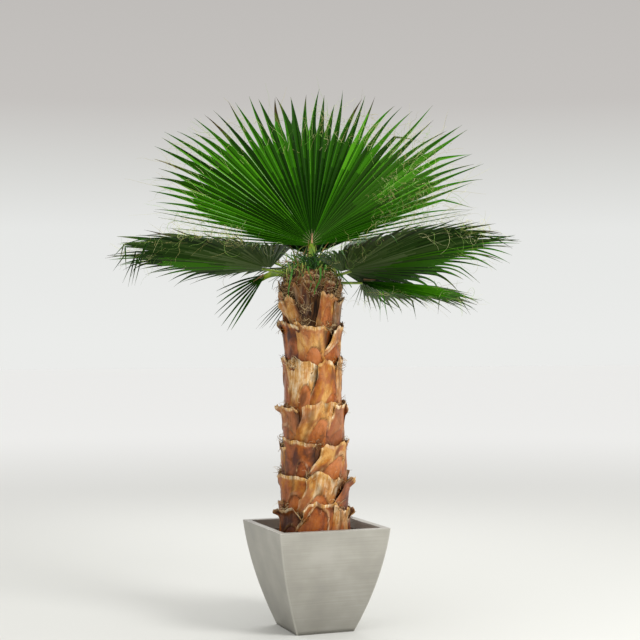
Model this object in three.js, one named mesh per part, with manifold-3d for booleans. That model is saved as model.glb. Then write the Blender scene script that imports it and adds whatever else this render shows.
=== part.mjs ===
// A Mexican fan palm, Washingtonia robusta, growing in a square tapered planter.
// Millimetres and degrees, +Z up. The origin is the centre of the planter's flat foot, and the
// planter's faces look along X and Y. Azimuths run anticlockwise from +X, seen from above.

import * as THREE from "three";
import { mergeVertices } from "three/addons/utils/BufferGeometryUtils.js";
import Module from "manifold-3d";

// ---- Driving dimensions ----

const CLEARANCE = 0.35; // between neighbours that touch on the real plant

const PLANTER = {
  rimSide: 540,
  footSide: 284,
  height: 485,
  belly: 18, // how far each face bows out of a straight taper, at mid height
  rimWidth: 34,
  footWall: 24,
  floor: 28,
  arris: 2.5, // the small chamfer on the rim's edges
  steps: 8,
};
const SOIL_TOP = 440;

const TRUNK = {
  foot: SOIL_TOP + CLEARANCE,
  tip: 1676,
  sides: 24,
  lean: [-24, -7], // how far the tip stands from above the foot, along X and Y
  // Core radius at each height above the planter's foot.
  radii: [
    [440, 146],
    [520, 136],
    [700, 130],
    [900, 121],
    [1100, 112],
    [1300, 107],
    [1450, 110],
    [1560, 116],
    [1620, 112],
    [1655, 98],
    [1676, 66],
  ],
};

// The rings of old leaf bases that clothe the trunk: the height of a ring's top edge, how many bases it
// has, the azimuth of its first one, and how far its tops stand off the core.
const BASE_RINGS = [
  { top: 570, count: 7, from: 44, flare: 30 },
  { top: 716, count: 6, from: 12, flare: 33 },
  { top: 880, count: 6, from: 38, flare: 30 },
  { top: 1045, count: 6, from: 8, flare: 28 },
  { top: 1246, count: 6, from: 40, flare: 24 },
  { top: 1415, count: 6, from: 12, flare: 26 },
  { top: 1547, count: 6, from: 40, flare: 30 },
  { top: 1606, count: 4, from: 52, flare: 28 },
];
const BASE = {
  tuck: 38, // how far a base starts below the top of the ring under it
  halfAngle: 28, // at its foot, its widest place, where its ring leaves it that much room
  turnGap: 2, // the room on each side of it
  topShare: 0.66, // the width at its top, as a share of its foot's
  footThick: 14,
  topThick: 8,
  curl: 1.7, // the power of height by which it leaves the trunk
  horn: 16, // how far the corners of its cut top stand above the middle
  turnJitter: 1.6,
  topJitter: 14,
  across: 4,
  up: 3,
};

// The crown: each frond's azimuth, the distance of its hub from the trunk's axis and its height, the
// slope of its blade above the horizon, the blade's roll about its own midline, the angle by which its
// two halves lift off its plane, its reach, its spread to the left and right of the midline, how far its
// tips sag, as a share of the reach, and the angle by which one side hangs: above 0 on the left side.
const FRONDS = {
  frond_01_rear_upright: {
    azimuth: 67, hub: 112, height: 1795, slope: 55, roll: 0, lift: 3, reach: 1080, left: 90, right: 85, sag: 0.03,
  },
  frond_02_left: {
    azimuth: 163, hub: 190, height: 1681, slope: 8, roll: 6, lift: 4, reach: 795, left: 99, right: 58, sag: 0.05,
    hang: -9,
  },
  frond_03_right: {
    azimuth: -31, hub: 150, height: 1664, slope: 14, roll: -5, lift: 4, reach: 845, left: 78, right: 98, sag: 0.06,
    hang: 10,
  },
  frond_04_right_low: {
    azimuth: 1, hub: 262, height: 1626, slope: -2, roll: 0, lift: -13, reach: 560, left: 75, right: 112, sag: 0.04,
  },
  frond_05_left_low: {
    azimuth: 140, hub: 225, height: 1657, slope: -33, roll: -62, lift: -2, reach: 315, left: 34, right: 30, sag: 0.04,
  },
  frond_06_rear_low: {
    azimuth: 84, hub: 205, height: 1600, slope: -42, roll: 0, lift: -6, reach: 290, left: 45, right: 52, sag: 0.05,
  },
  frond_07_rear_right: {
    azimuth: 24, hub: 200, height: 1716, slope: 18, roll: 3, lift: 3, reach: 780, left: 43, right: 50, sag: 0.08,
  },
  frond_08_rear: {
    azimuth: 67, hub: 255, height: 1694, slope: 5, roll: 0, lift: -2, reach: 780, left: 56, right: 64, sag: 0.04,
  },
  frond_09_rear_middle: {
    azimuth: 69, hub: 165, height: 1750, slope: 34, roll: 0, lift: 3, reach: 830, left: 56, right: 54, sag: 0.05,
  },
  frond_10_rear_left: {
    azimuth: 117, hub: 200, height: 1716, slope: 15, roll: -3, lift: 3, reach: 780, left: 50, right: 43, sag: 0.08,
  },
};
const BLADE = {
  lobeAngle: 7.6, // each lobe stands for two or three of the living leaf's segments
  rows: 3,
  notch: 0.64, // the depth of the fused part of the fan, as a share of the reach
  eye: 13, // the bare ring round the hub
  costa: 0.04, // how far the midrib runs into the blade, as a share of the reach
  shoulder: 42, // the angle from the midline past which segments grow shorter
  sideShare: 0.71, // the length of segments at twice that angle, as a share of the reach
  hangFrom: 15, // the angles from the midline between which a hanging side sinks more and more
  hangFull: 95,
  pleat: 0.3, // the depth of a fold near the hub, as a share of a lobe's width
  thickShare: 0.0115, // as a share of the reach
  leastThick: 7,
};
const PETIOLE = {
  footWidth: 46,
  hubWidth: 30,
  footThick: 22,
  hubThick: 15,
  rootHeight: 1600, // where the lowest one leaves the trunk
  rootDepth: 30, // the least depth of a root below the trunk's tip
  rootRadius: 62,
  rootRise: 0.36, // the share of the hub's extra height by which a higher frond is rooted higher
  rootDraw: 0.2, // and the share by which it is rooted nearer the trunk's axis
  straight: 0.45, // how far it runs straight towards its hub, as a share of its length
  sunk: 40, // how far it runs on under the blade
  sides: 6,
  steps: 7,
};

const COLOURS = {
  planter: { color: "#aeaca1", roughness: 0.55, metalness: 0 },
  soil: { color: "#3b2c20", roughness: 1, metalness: 0 },
  trunk: { color: "#6d4a2a", roughness: 0.9, metalness: 0 },
  leafBase: { color: "#b06f3a", roughness: 0.6, metalness: 0 },
  frond: { color: "#2c5a12", roughness: 0.5, metalness: 0 },
};

// ---- Small helpers ----

const wasm = await Module();
wasm.setup();

const palm = new THREE.Group();
const UP = new THREE.Vector3(0, 0, 1);
const { degToRad, lerp, smoothstep } = THREE.MathUtils;

/** A repeatable random source with an even spread from -1 to 1. */
function seeded(seed) {
  let state = seed;
  return () => {
    state = (state * 1664525 + 1013904223) % 4294967296;
    return (state / 4294967296) * 2 - 1;
  };
}

/** The value at x of a curve given as [x, value] pairs, by straight lines. */
function along(pairs, x) {
  const last = pairs.length - 1;
  if (x <= pairs[0][0]) return pairs[0][1];
  if (x >= pairs[last][0]) return pairs[last][1];
  const i = pairs.findIndex(([at]) => at > x);
  const [x0, y0] = pairs[i - 1];
  const [x1, y1] = pairs[i];
  return lerp(y0, y1, (x - x0) / (x1 - x0));
}

/** The level direction at an azimuth. */
function level(azimuth) {
  return new THREE.Vector3(Math.cos(degToRad(azimuth)), Math.sin(degToRad(azimuth)), 0);
}

/** Moves each vertex of a geometry to where place(point) says. */
function warp(geometry, place) {
  const position = geometry.getAttribute("position");
  const point = new THREE.Vector3();
  for (let i = 0; i < position.count; i++) {
    point.fromBufferAttribute(position, i);
    const to = place(point);
    position.setXYZ(i, to.x, to.y, to.z);
  }
  geometry.computeVertexNormals();
  return geometry;
}

/** A geometry as a manifold-3d solid. */
function solidOf(geometry) {
  const bare = geometry.clone();
  bare.deleteAttribute("normal");
  bare.deleteAttribute("uv");
  const merged = mergeVertices(bare, 1e-3);
  const mesh = new wasm.Mesh({
    numProp: 3,
    vertProperties: merged.getAttribute("position").array,
    triVerts: new Uint32Array(merged.index.array),
  });
  return new wasm.Manifold(mesh);
}

/** The largest body of a manifold-3d solid as a geometry; loose scraps are dropped. */
function geometryOf(solid) {
  const bodies = solid.decompose().sort((a, b) => b.volume() - a.volume());
  const mesh = bodies[0].getMesh();
  const geometry = new THREE.BufferGeometry();
  geometry.setAttribute("position", new THREE.BufferAttribute(mesh.vertProperties, 3));
  geometry.setIndex(new THREE.BufferAttribute(mesh.triVerts, 1));
  geometry.computeVertexNormals();
  return geometry;
}

/** Adds a named sub-part to the palm. */
function add(name, geometry, look) {
  const mesh = new THREE.Mesh(geometry, new THREE.MeshStandardMaterial(look));
  mesh.name = name;
  palm.add(mesh);
}

// ---- Planter and soil ----

/** Half the planter's outer width at a height. */
function planterHalf(z) {
  const t = z / PLANTER.height;
  const straight = lerp(PLANTER.footSide, PLANTER.rimSide, t) / 2;
  return straight + 4 * PLANTER.belly * t * (1 - t);
}

/** Half the width of the hollow at a height. */
function hollowHalf(z) {
  return planterHalf(z) - lerp(PLANTER.footWall, PLANTER.rimWidth, z / PLANTER.height);
}

/** A square solid from a profile of [half width, height] points, turned with four sides. */
function squareTurned(profile) {
  const points = profile.map(([half, z]) => new THREE.Vector2(half * Math.SQRT2, z));
  const turned = new THREE.LatheGeometry(points, 4, Math.PI / 4);
  return turned.rotateX(Math.PI / 2);
}

/** Heights from one to another in equal steps, both ends included. */
function heights(from, to, steps) {
  return Array.from({ length: steps + 1 }, (_, i) => lerp(from, to, i / steps));
}

function planterGeometry() {
  const { height, floor, arris, steps } = PLANTER;
  const outer = heights(0, height - arris, steps).map((z) => [planterHalf(z), z]);
  const inner = heights(height - arris, floor, steps).map((z) => [hollowHalf(z), z]);
  return squareTurned([
    [0, 0],
    ...outer,
    [planterHalf(height) - arris, height],
    [hollowHalf(height) + arris, height],
    ...inner,
    [0, floor],
  ]);
}

function soilGeometry() {
  const foot = PLANTER.floor + CLEARANCE;
  const sides = heights(foot, SOIL_TOP, PLANTER.steps).map((z) => [hollowHalf(z) - CLEARANCE, z]);
  return squareTurned([[0, foot], ...sides, [0, SOIL_TOP]]);
}

// ---- Trunk and its old leaf bases ----

/** The trunk's centre at a height. */
function trunkCentre(z) {
  const t = (z - TRUNK.foot) / (TRUNK.tip - TRUNK.foot);
  return new THREE.Vector3(TRUNK.lean[0] * t, TRUNK.lean[1] * t, z);
}

/** The trunk's core, grown by a margin all round. */
function trunkGeometry(margin) {
  const rings = TRUNK.radii.length - 1;
  const core = new THREE.CylinderGeometry(1, 1, 1, TRUNK.sides, rings).rotateX(Math.PI / 2);
  return warp(core, (p) => {
    const ring = Math.round((p.z + 0.5) * rings);
    const [height, radius] = TRUNK.radii[ring];
    const z = ring === 0 ? TRUNK.foot - margin : ring === rings ? height + margin : height;
    const round = new THREE.Vector3(p.x, p.y, 0).multiplyScalar(radius + margin);
    return round.add(trunkCentre(z));
  });
}

/** One old leaf base: a scale that clasps the trunk at its wide foot and flares to a narrower, cut top. */
function leafBaseGeometry(foot, top, azimuth, halfAngle, flare) {
  const clearOfFacets = Math.cos(degToRad(halfAngle / BASE.across));
  const box = new THREE.BoxGeometry(2, 1, 1, BASE.across, BASE.up, 1);
  return warp(box, (p) => {
    const up = p.y + 0.5;
    const out = p.z + 0.5;
    const z = lerp(foot, top, up) - BASE.horn * (1 - p.x * p.x) * up * up;
    const touching = (along(TRUNK.radii, z) + CLEARANCE) / clearOfFacets;
    const thick = lerp(BASE.footThick, BASE.topThick, up);
    const radius = touching + flare * up ** BASE.curl + out * thick;
    const turn = p.x * halfAngle * lerp(1, BASE.topShare, up);
    return level(azimuth + turn).multiplyScalar(radius).add(trunkCentre(z));
  });
}

function addLeafBases() {
  const jitter = seeded(7);
  let foot = TRUNK.foot;
  BASE_RINGS.forEach((ring, r) => {
    const halfAngle = Math.min(BASE.halfAngle, 180 / ring.count - BASE.turnGap);
    for (let i = 0; i < ring.count; i++) {
      const azimuth = ring.from + (360 / ring.count) * i + jitter() * BASE.turnJitter;
      const top = ring.top + jitter() * BASE.topJitter;
      const name = `leaf_base_${r + 1}${"abcdefg"[i]}`;
      add(name, leafBaseGeometry(foot, top, azimuth, halfAngle, ring.flare), COLOURS.leafBase);
    }
    foot = ring.top - BASE.tuck;
  });
}

// ---- Fronds ----

/** A frond's axes and hub, worked out from its row of the table. */
function frondFrame(frond) {
  const slope = degToRad(frond.slope);
  const away = level(frond.azimuth);
  const axis = away.clone().multiplyScalar(Math.cos(slope)).addScaledVector(UP, Math.sin(slope));
  const side = new THREE.Vector3().crossVectors(UP, away).applyAxisAngle(axis, degToRad(frond.roll));
  const face = new THREE.Vector3().crossVectors(axis, side);
  const hub = trunkCentre(TRUNK.tip).addScaledVector(away, frond.hub).setZ(frond.height);
  return { away, axis, side, face, hub };
}

/** A point of the smooth blade: turn is its angle from the midline, out its share of the segment. */
function bladePoint(frond, frame, turn, out) {
  const { costa, shoulder, sideShare, eye, hangFrom, hangFull } = BLADE;
  const { hang = 0 } = frond;
  const share = lerp(1, sideShare, smoothstep(Math.abs(turn), shoulder, 2 * shoulder));
  const distance = lerp(eye, frond.reach * share, out);
  const spread = turn > 0 ? frond.left : frond.right;
  const root = frond.reach * costa * (1 - Math.abs(turn) / spread);
  const ahead = Math.cos(degToRad(turn));
  const sideways = Math.sin(degToRad(turn));
  const sunk = degToRad(Math.abs(hang)) * smoothstep(Math.sign(hang) * turn, hangFrom, hangFull);
  const sag = frond.sag * frond.reach * (distance / frond.reach) ** 3;
  return frame.hub
    .clone()
    .addScaledVector(frame.axis, distance * ahead + root * (1 - out * ahead))
    .addScaledVector(frame.side, distance * sideways * Math.cos(sunk))
    .addScaledVector(frame.face, distance * Math.abs(sideways) * Math.sin(degToRad(frond.lift)))
    .addScaledVector(UP, -sag - distance * Math.abs(sideways) * Math.sin(sunk));
}

/** The fan-shaped blade: folded lobes, fused near the hub and free beyond the notches. */
function bladeGeometry(frond, frame) {
  const lobes = Math.round((frond.left + frond.right) / BLADE.lobeAngle);
  const columns = 2 * lobes;
  const thick = Math.max(BLADE.leastThick, BLADE.thickShare * frond.reach);
  const box = new THREE.BoxGeometry(1, 1, 1, columns, BLADE.rows, 1);
  return warp(box, (p) => {
    const column = Math.round((p.x + 0.5) * columns);
    const rib = column % 2 === 1;
    const turn = lerp(frond.left, -frond.right, column / columns);
    const out = (p.y + 0.5) * (rib ? 1 : BLADE.notch);
    const at = bladePoint(frond, frame, turn, out);
    const outward = bladePoint(frond, frame, turn, out + 0.01).sub(at);
    const onward = bladePoint(frond, frame, turn - 1, out + 0.01).sub(at);
    const normal = new THREE.Vector3().crossVectors(onward, outward).normalize();
    const lobeWidth = degToRad(BLADE.lobeAngle) * Math.min(out, BLADE.notch) * frond.reach;
    const fold = BLADE.pleat * lobeWidth * (1 - out) * (rib ? -1 : 1);
    return at.addScaledVector(normal, fold + p.z * thick);
  });
}

/** The leaf stalk: a rod from inside the trunk's tip to just under the blade. */
function petioleGeometry(frond, frame) {
  const extra = Math.max(0, frond.height - PETIOLE.rootHeight);
  const rootZ = Math.min(TRUNK.tip - PETIOLE.rootDepth, PETIOLE.rootHeight + extra * PETIOLE.rootRise);
  const rootRadius = PETIOLE.rootRadius - extra * PETIOLE.rootDraw;
  const root = trunkCentre(rootZ).addScaledVector(frame.away, rootRadius);
  const underHub = frame.hub.clone().addScaledVector(frame.face, -PETIOLE.hubThick / 2);
  const straight = PETIOLE.straight * root.distanceTo(underHub);
  const bend = underHub.clone().addScaledVector(frame.axis, -straight);
  const end = underHub.clone().addScaledVector(frame.axis, PETIOLE.sunk);
  const path = new THREE.QuadraticBezierCurve3(root, bend, end);
  const rod = new THREE.CylinderGeometry(0.5, 0.5, 1, PETIOLE.sides, PETIOLE.steps).rotateX(Math.PI / 2);
  return warp(rod, (p) => {
    const t = p.z + 0.5;
    const ahead = path.getTangent(t);
    const across = new THREE.Vector3().crossVectors(ahead, frame.face).normalize();
    const back = new THREE.Vector3().crossVectors(ahead, across);
    return path
      .getPoint(t)
      .addScaledVector(across, p.x * lerp(PETIOLE.footWidth, PETIOLE.hubWidth, t))
      .addScaledVector(back, p.y * lerp(PETIOLE.footThick, PETIOLE.hubThick, t));
  });
}

/** Adds each frond, its stalk fused to its blade and cut clear of the trunk. */
function addFronds() {
  const trunkRoom = solidOf(trunkGeometry(CLEARANCE));
  for (const [name, frond] of Object.entries(FRONDS)) {
    const frame = frondFrame(frond);
    const blade = solidOf(bladeGeometry(frond, frame));
    const petiole = solidOf(petioleGeometry(frond, frame));
    add(name, geometryOf(blade.add(petiole).subtract(trunkRoom)), COLOURS.frond);
  }
}

// ---- Assembly ----

add("planter", planterGeometry(), COLOURS.planter);
add("potting_soil", soilGeometry(), COLOURS.soil);
add("trunk", trunkGeometry(0), COLOURS.trunk);
addLeafBases();
addFronds();

export default palm;
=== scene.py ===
"""Looks for a Mexican fan palm that grows in a square tapered planter.

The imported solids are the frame. Each piece stands where its solid stands: the fronds, the old leaf bases
and the trunk grow by the same rules as the solids, written again here and carried to finer parts.
Sizes are in millimetres and angles in degrees. A mesh is scaled to metres once, when it is finished.
"""

import logging
import math
from dataclasses import dataclass, field
from enum import Enum
from typing import Any, Callable, Sequence

import bmesh
import bpy
import numpy as np
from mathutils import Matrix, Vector, noise

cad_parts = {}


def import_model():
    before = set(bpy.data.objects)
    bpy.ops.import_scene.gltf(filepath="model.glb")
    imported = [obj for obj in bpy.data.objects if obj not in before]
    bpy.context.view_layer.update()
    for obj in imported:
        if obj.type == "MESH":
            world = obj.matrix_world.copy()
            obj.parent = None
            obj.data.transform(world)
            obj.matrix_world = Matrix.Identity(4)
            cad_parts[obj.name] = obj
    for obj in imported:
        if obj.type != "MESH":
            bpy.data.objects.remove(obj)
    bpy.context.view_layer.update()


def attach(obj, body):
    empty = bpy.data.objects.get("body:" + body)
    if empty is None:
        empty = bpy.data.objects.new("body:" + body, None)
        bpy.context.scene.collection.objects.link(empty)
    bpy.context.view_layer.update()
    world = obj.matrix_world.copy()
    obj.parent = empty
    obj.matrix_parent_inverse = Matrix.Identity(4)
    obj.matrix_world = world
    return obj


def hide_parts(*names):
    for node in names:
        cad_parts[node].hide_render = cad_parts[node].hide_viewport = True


LOG = logging.getLogger("palm")
MM = 0.001
CLEARANCE = 0.35
TOUCHING = 0.01
UP = np.array((0.0, 0.0, 1.0))
Array = np.ndarray
Chance = np.random.Generator
Mesh = bmesh.types.BMesh
Pair = tuple[float, float]
Socket = bpy.types.NodeSocket


# ---- Small helpers ----


def linear(hex_colour: str) -> tuple[float, float, float, float]:
    """Turns an sRGB hex colour into the linear colour that a socket takes.

    Args:
        hex_colour: six hex digits after a hash sign.

    Returns:
        linear red, green and blue, and an alpha of 1.
    """
    channels = [int(hex_colour[i : i + 2], 16) / 255 for i in (1, 3, 5)]
    red, green, blue = [c / 12.92 if c <= 0.04045 else ((c + 0.055) / 1.055) ** 2.4 for c in channels]
    return (red, green, blue, 1.0)


class Nodes:
    """A node tree that is being wired."""

    def __init__(self, tree: bpy.types.NodeTree) -> None:
        """Takes the tree of a material or of the world."""
        self.tree = tree

    def add(self, kind: str, inputs: dict | tuple, out: str | int = 0, **settings: Any) -> Socket:
        """Adds one node, with its settings and links.

        Args:
            kind: the node's type, without its ShaderNode.
            inputs: a plain value or another node's output for each input, by name or number. A tuple's
                values go to the first inputs.
            out: the output that is asked for.
            settings: the node's own properties; stops gives a colour ramp's (place, hex colour) pairs.

        Returns:
            that output, which knows its node and so the other outputs.
        """
        node = self.tree.nodes.new(f"ShaderNode{kind}")
        stops = settings.pop("stops", ())
        for name, value in settings.items():
            setattr(node, name, value)
        if stops:
            elements = node.color_ramp.elements
            while len(elements) < len(stops):
                elements.new(0.5)
            for element, (place, colour) in zip(elements, stops):
                element.position = place
                element.color = linear(colour)
        pairs = inputs.items() if isinstance(inputs, dict) else enumerate(inputs)
        for name, value in pairs:
            if isinstance(value, Socket):
                self.tree.links.new(value, node.inputs[name])
            else:
                node.inputs[name].default_value = value
        return node.outputs[out]


class Recipe(Nodes):
    """A material in the making: its nodes, and the shader that they feed."""

    def __init__(self, name: str, **plain: Any) -> None:
        """Starts the material.

        Args:
            name: its name.
            plain: values for the shader's inputs that are the same all over, with _ for a space.
        """
        self.made = bpy.data.materials.new(name)
        self.made.use_nodes = True
        super().__init__(self.made.node_tree)
        self.shader = self.tree.nodes["Principled BSDF"]
        for name, value in plain.items():
            self.shader.inputs[name.replace("_", " ")].default_value = value

    def feed(self, **outputs: Socket) -> bpy.types.Material:
        """Links outputs to the shader's inputs of those names.

        Args:
            outputs: what feeds each input, with _ for a space.

        Returns:
            the finished material.
        """
        for name, output in outputs.items():
            self.tree.links.new(output, self.shader.inputs[name.replace("_", " ")])
        return self.made


def smooth(x: Any, low: float, high: float) -> Any:
    """The smooth step from 0 at low to 1 at high."""
    t = np.clip((x - low) / (high - low), 0.0, 1.0)
    return t * t * (3 - 2 * t)


def step(x: float, low: float, high: float) -> float:
    """The smooth step of one number."""
    t = min(1.0, max(0.0, (x - low) / (high - low)))
    return t * t * (3 - 2 * t)


def bump(x: float, middle: float, width: float) -> float:
    """A round bump of height 1 over a middle."""
    return math.exp(-(((x - middle) / width) ** 2))


def mix(low: Any, high: Any, share: Any) -> Any:
    """The value that lies the given share of the way from low to high."""
    return low + (high - low) * share


def unit(v: Array) -> Array:
    """Vectors scaled to a length of 1."""
    return v / np.maximum(np.linalg.norm(v, axis=-1, keepdims=True), 1e-9)


def level(azimuth: float) -> Array:
    """The level direction at an azimuth."""
    return np.array((math.cos(math.radians(azimuth)), math.sin(math.radians(azimuth)), 0.0))


def waver(x: float, y: float, seed: float) -> float:
    """Smooth noise of about -1 to 1 at a place on a piece; seed tells pieces apart."""
    return noise.noise(Vector((x, y, seed)))


def dealt(rng: Chance, ranges: dict[str, Pair]) -> dict[str, float]:
    """A chance value for each name, from its range."""
    return {name: float(rng.uniform(*ends)) for name, ends in ranges.items()}


def warped_grid(
    bm: Mesh, columns: int, rows: int, place: Callable[[float, float], Sequence[float]]
) -> list[bmesh.types.BMVert]:
    """Adds a flat grid and bends it to a shape.

    Args:
        bm: the mesh it is added to.
        columns: cells along u, which runs from -1 to 1.
        rows: cells along v, which runs from 0 to 1.
        place: gives the point for each (u, v). It faces the way that u across v points.

    Returns:
        the grid's vertices.
    """
    verts = bmesh.ops.create_grid(bm, x_segments=columns, y_segments=rows, size=1.0)["verts"]
    for vert in verts:
        vert.co = place(vert.co.x, (vert.co.y + 1) / 2)
    return verts


def close(bm: Mesh) -> None:
    """Fills a mesh's open ends and turns its faces outwards."""
    bmesh.ops.holes_fill(bm, edges=[e for e in bm.edges if e.is_boundary], sides=0)
    bmesh.ops.recalc_face_normals(bm, faces=bm.faces)


def bevel(bm: Mesh, edges: list[bmesh.types.BMEdge], width: float, segments: int) -> None:
    """Rounds edges."""
    bmesh.ops.bevel(
        bm,
        geom=edges,
        offset=width,
        offset_type="OFFSET",
        affect="EDGES",
        segments=segments,
        profile=0.5,
        material=-1,
    )


def mesh_of(bm: Mesh, name: str) -> bpy.types.Mesh:
    """Scales a shaped bmesh to metres and makes it a mesh with rounded shading.

    Args:
        bm: the bmesh, which is used up.
        name: the mesh's name.

    Returns:
        the mesh.
    """
    bmesh.ops.scale(bm, vec=(MM, MM, MM), verts=bm.verts)
    for face in bm.faces:
        face.smooth = True
    mesh = bpy.data.meshes.new(name)
    bm.to_mesh(mesh)
    bm.free()
    return mesh


def joined_mesh(name: str, points: Array, faces: list, tones: Array) -> bpy.types.Mesh:
    """Makes one mesh of many small closed shapes that were worked out as arrays.

    Args:
        name: the mesh's name.
        points: all corner points, in millimetres, in an array of any shape.
        faces: the corner numbers of each face.
        tones: each face's material number.

    Returns:
        the mesh, in metres, with flat faces.
    """
    mesh = bpy.data.meshes.new(name)
    mesh.from_pydata((points.reshape(-1, 3) * MM).tolist(), [], faces)
    mesh.polygons.foreach_set("material_index", np.asarray(tones, dtype=np.int32))
    mesh.polygons.foreach_set("use_smooth", np.zeros(len(mesh.polygons), dtype=bool))
    mesh.update()
    return mesh


def settle(
    name: str,
    mesh: Mesh | bpy.types.Mesh,
    materials: list[bpy.types.Material],
    nodes: Sequence[str] = (),
) -> bpy.types.Object:
    """Turns a finished mesh into a piece that rides on the plant and stands for its solids.

    Args:
        name: the piece's name.
        mesh: its mesh in metres, or its bmesh in millimetres.
        materials: its materials, in the order of the faces' numbers.
        nodes: the solids that it stands for.

    Returns:
        the piece's object.
    """
    if isinstance(mesh, Mesh):
        mesh = mesh_of(mesh, name)
    piece = bpy.data.objects.new(name, mesh)
    bpy.context.scene.collection.objects.link(piece)
    for material in materials:
        mesh.materials.append(material)
    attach(piece, "root")
    if nodes:
        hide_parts(*nodes)
    mesh.calc_loop_triangles()
    LOG.info("%s: %d triangles", name, len(mesh.loop_triangles))
    return piece


def tube_faces(count: int, rows: int, sides: int) -> list:
    """Faces of equal closed tubes whose points are counted by tube, row and side.

    Args:
        count: how many tubes.
        rows: rings of points in each.
        sides: points in each ring, numbered clockwise as seen from the start.

    Returns:
        the wall faces of all tubes by tube, row and side, and then two end faces for each tube.
    """
    tube, row, side = np.meshgrid(np.arange(count), np.arange(rows - 1), np.arange(sides), indexing="ij")
    start = (tube * rows + row) * sides
    after = (side + 1) % sides
    walls = np.stack((start + side, start + after, start + sides + after, start + sides + side), axis=-1)
    faces = walls.reshape(-1, 4).tolist()
    for first in range(0, count * rows * sides, rows * sides):
        last = first + (rows - 1) * sides
        faces.append(list(range(first + sides - 1, first - 1, -1)))
        faces.append(list(range(last, last + sides)))
    return faces


# ---- Finishes ----


@dataclass(frozen=True)
class BrushedCastClay:
    """Fibre-clay cast in a mould, sealed, then brushed sideways: satin grey with faint level streaks."""

    body: str = "#9f9c92"
    shade: str = "#95928a"
    pale_mottle_and_highlight: str = "#aaa79e"
    # The colour and the width of the painted highlight along the four upright corners.
    corner_highlight: str = "#bdbab1"
    corner_highlight_width: float = 9.0
    painted_foot_shade: float = 0.74
    painted_shade_top: float = 360.0
    brush_gap: float = 5.0
    patch: float = 190.0
    roughness: float = 0.42

    def material(self) -> bpy.types.Material:
        """Cloudy patches a hand wide, brush lines 5 mm apart, painted shade that darkens the foot and a
        painted highlight along the corners.
        """
        clay = Recipe("brushed_cast_clay", IOR=1.45)
        place = clay.add("TexCoord", (), "Object")
        patches = {"Vector": place, "Scale": 1 / (self.patch * MM), "Detail": 3.0, "Roughness": 0.55}
        cloud = clay.add("TexNoise", patches)
        across = 1 / (self.brush_gap * MM)
        lines = clay.add("Mapping", {"Vector": place, "Scale": (across / 60, across / 60, across)})
        brushed = clay.add("TexNoise", {"Vector": lines, "Scale": 1.0, "Detail": 2.0})
        blend = clay.add("Math", (brushed, 0.35, cloud), operation="MULTIPLY_ADD")
        stops = ((0.45, self.shade), (0.66, self.body), (0.88, self.pale_mottle_and_highlight))
        colour = clay.add("ValToRGB", (blend,), stops=stops)
        x, y, z = clay.add("SeparateXYZ", (place,)).node.outputs
        # Painted shade: the colour is scaled down towards the foot, darkest at the floor, for the shade low
        # on the pot.
        grade = clay.add("MapRange", (z, 0.0, self.painted_shade_top * MM, self.painted_foot_shade, 1.0))
        graded = clay.add("VectorMath", {0: colour, "Scale": grade}, operation="SCALE")
        # Painted highlight: a pale band along the four upright corners, where the bevels catch the light.
        across_x = clay.add("Math", (x,), operation="ABSOLUTE")
        across_y = clay.add("Math", (y,), operation="ABSOLUTE")
        aside = clay.add("Math", (across_x, across_y), operation="SUBTRACT")
        from_corner = clay.add("Math", (aside,), operation="ABSOLUTE")
        corner = clay.add("MapRange", (from_corner, 0.0, self.corner_highlight_width * MM, 0.75, 0.0))
        pale_mottle_and_highlight = clay.add("Mix", {0: corner, 6: graded, 7: linear(self.corner_highlight)}, 2, data_type="RGBA")
        rough = clay.add("MapRange", (brushed, 0.0, 1.0, self.roughness - 0.07, self.roughness + 0.12))
        relief = clay.add("Bump", {"Height": brushed, "Distance": 0.0004, "Strength": 0.5})
        return clay.feed(Base_Color=pale_mottle_and_highlight, Roughness=rough, Normal=relief)


@dataclass(frozen=True)
class PottingMix:
    """Composted bark and peat, tipped in loose: dark brown crumbs of mixed size that never shine."""

    dark: str = "#1f140c"
    mid: str = "#3d2a1a"
    light: str = "#6f5236"
    crumb: float = 6.0

    def material(self) -> bpy.types.Material:
        """Crumbs 6 mm across in three browns, with a rough surface."""
        soil = Recipe("loose_potting_mix", Roughness=0.95, IOR=1.4)
        place = soil.add("TexCoord", (), "Object")
        scale = 1 / (self.crumb * 3 * MM)
        crumbs = soil.add("TexNoise", {"Vector": place, "Scale": scale, "Detail": 5.0, "Roughness": 0.7})
        stops = ((0.38, self.dark), (0.52, self.mid), (0.68, self.light))
        colour = soil.add("ValToRGB", (crumbs,), stops=stops)
        relief = soil.add("Bump", {"Height": crumbs, "Distance": 0.004, "Strength": 0.9})
        return soil.feed(Base_Color=colour, Normal=relief)


@dataclass(frozen=True)
class MattedFibre:
    """Old sheath fibre, dried and matted on the stem: dull brown, with upright strands, and hollows darkened
    partly by dark fibre and partly by painted shade.
    """

    hollow: str = "#20130a"
    body: str = "#553418"
    strand: str = "#8d6337"
    strand_width: float = 4.0

    def material(self) -> bpy.types.Material:
        """Strands 4 mm wide and some 60 mm long, coarser than life so that they show."""
        mat = Recipe("matted_sheath_fibre", Roughness=0.85, IOR=1.4)
        place = mat.add("TexCoord", (), "Object")
        across = 1 / (self.strand_width * 4 * MM)
        stretched = mat.add("Mapping", {"Vector": place, "Scale": (across, across, across / 9)})
        lengthwise = {"Vector": stretched, "Scale": 1.0, "Detail": 5.0, "Roughness": 0.65, "Distortion": 0.6}
        strands = mat.add("TexNoise", lengthwise)
        # The darkest stop falls where the strands' relief is lowest: partly dark fibre, partly painted shade
        # in the hollows.
        stops = ((0.36, self.hollow), (0.52, self.body), (0.68, self.strand))
        colour = mat.add("ValToRGB", (strands,), stops=stops)
        relief = mat.add("Bump", {"Height": strands, "Distance": 0.005, "Strength": 0.9})
        return mat.feed(Base_Color=colour, Normal=relief)


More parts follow.
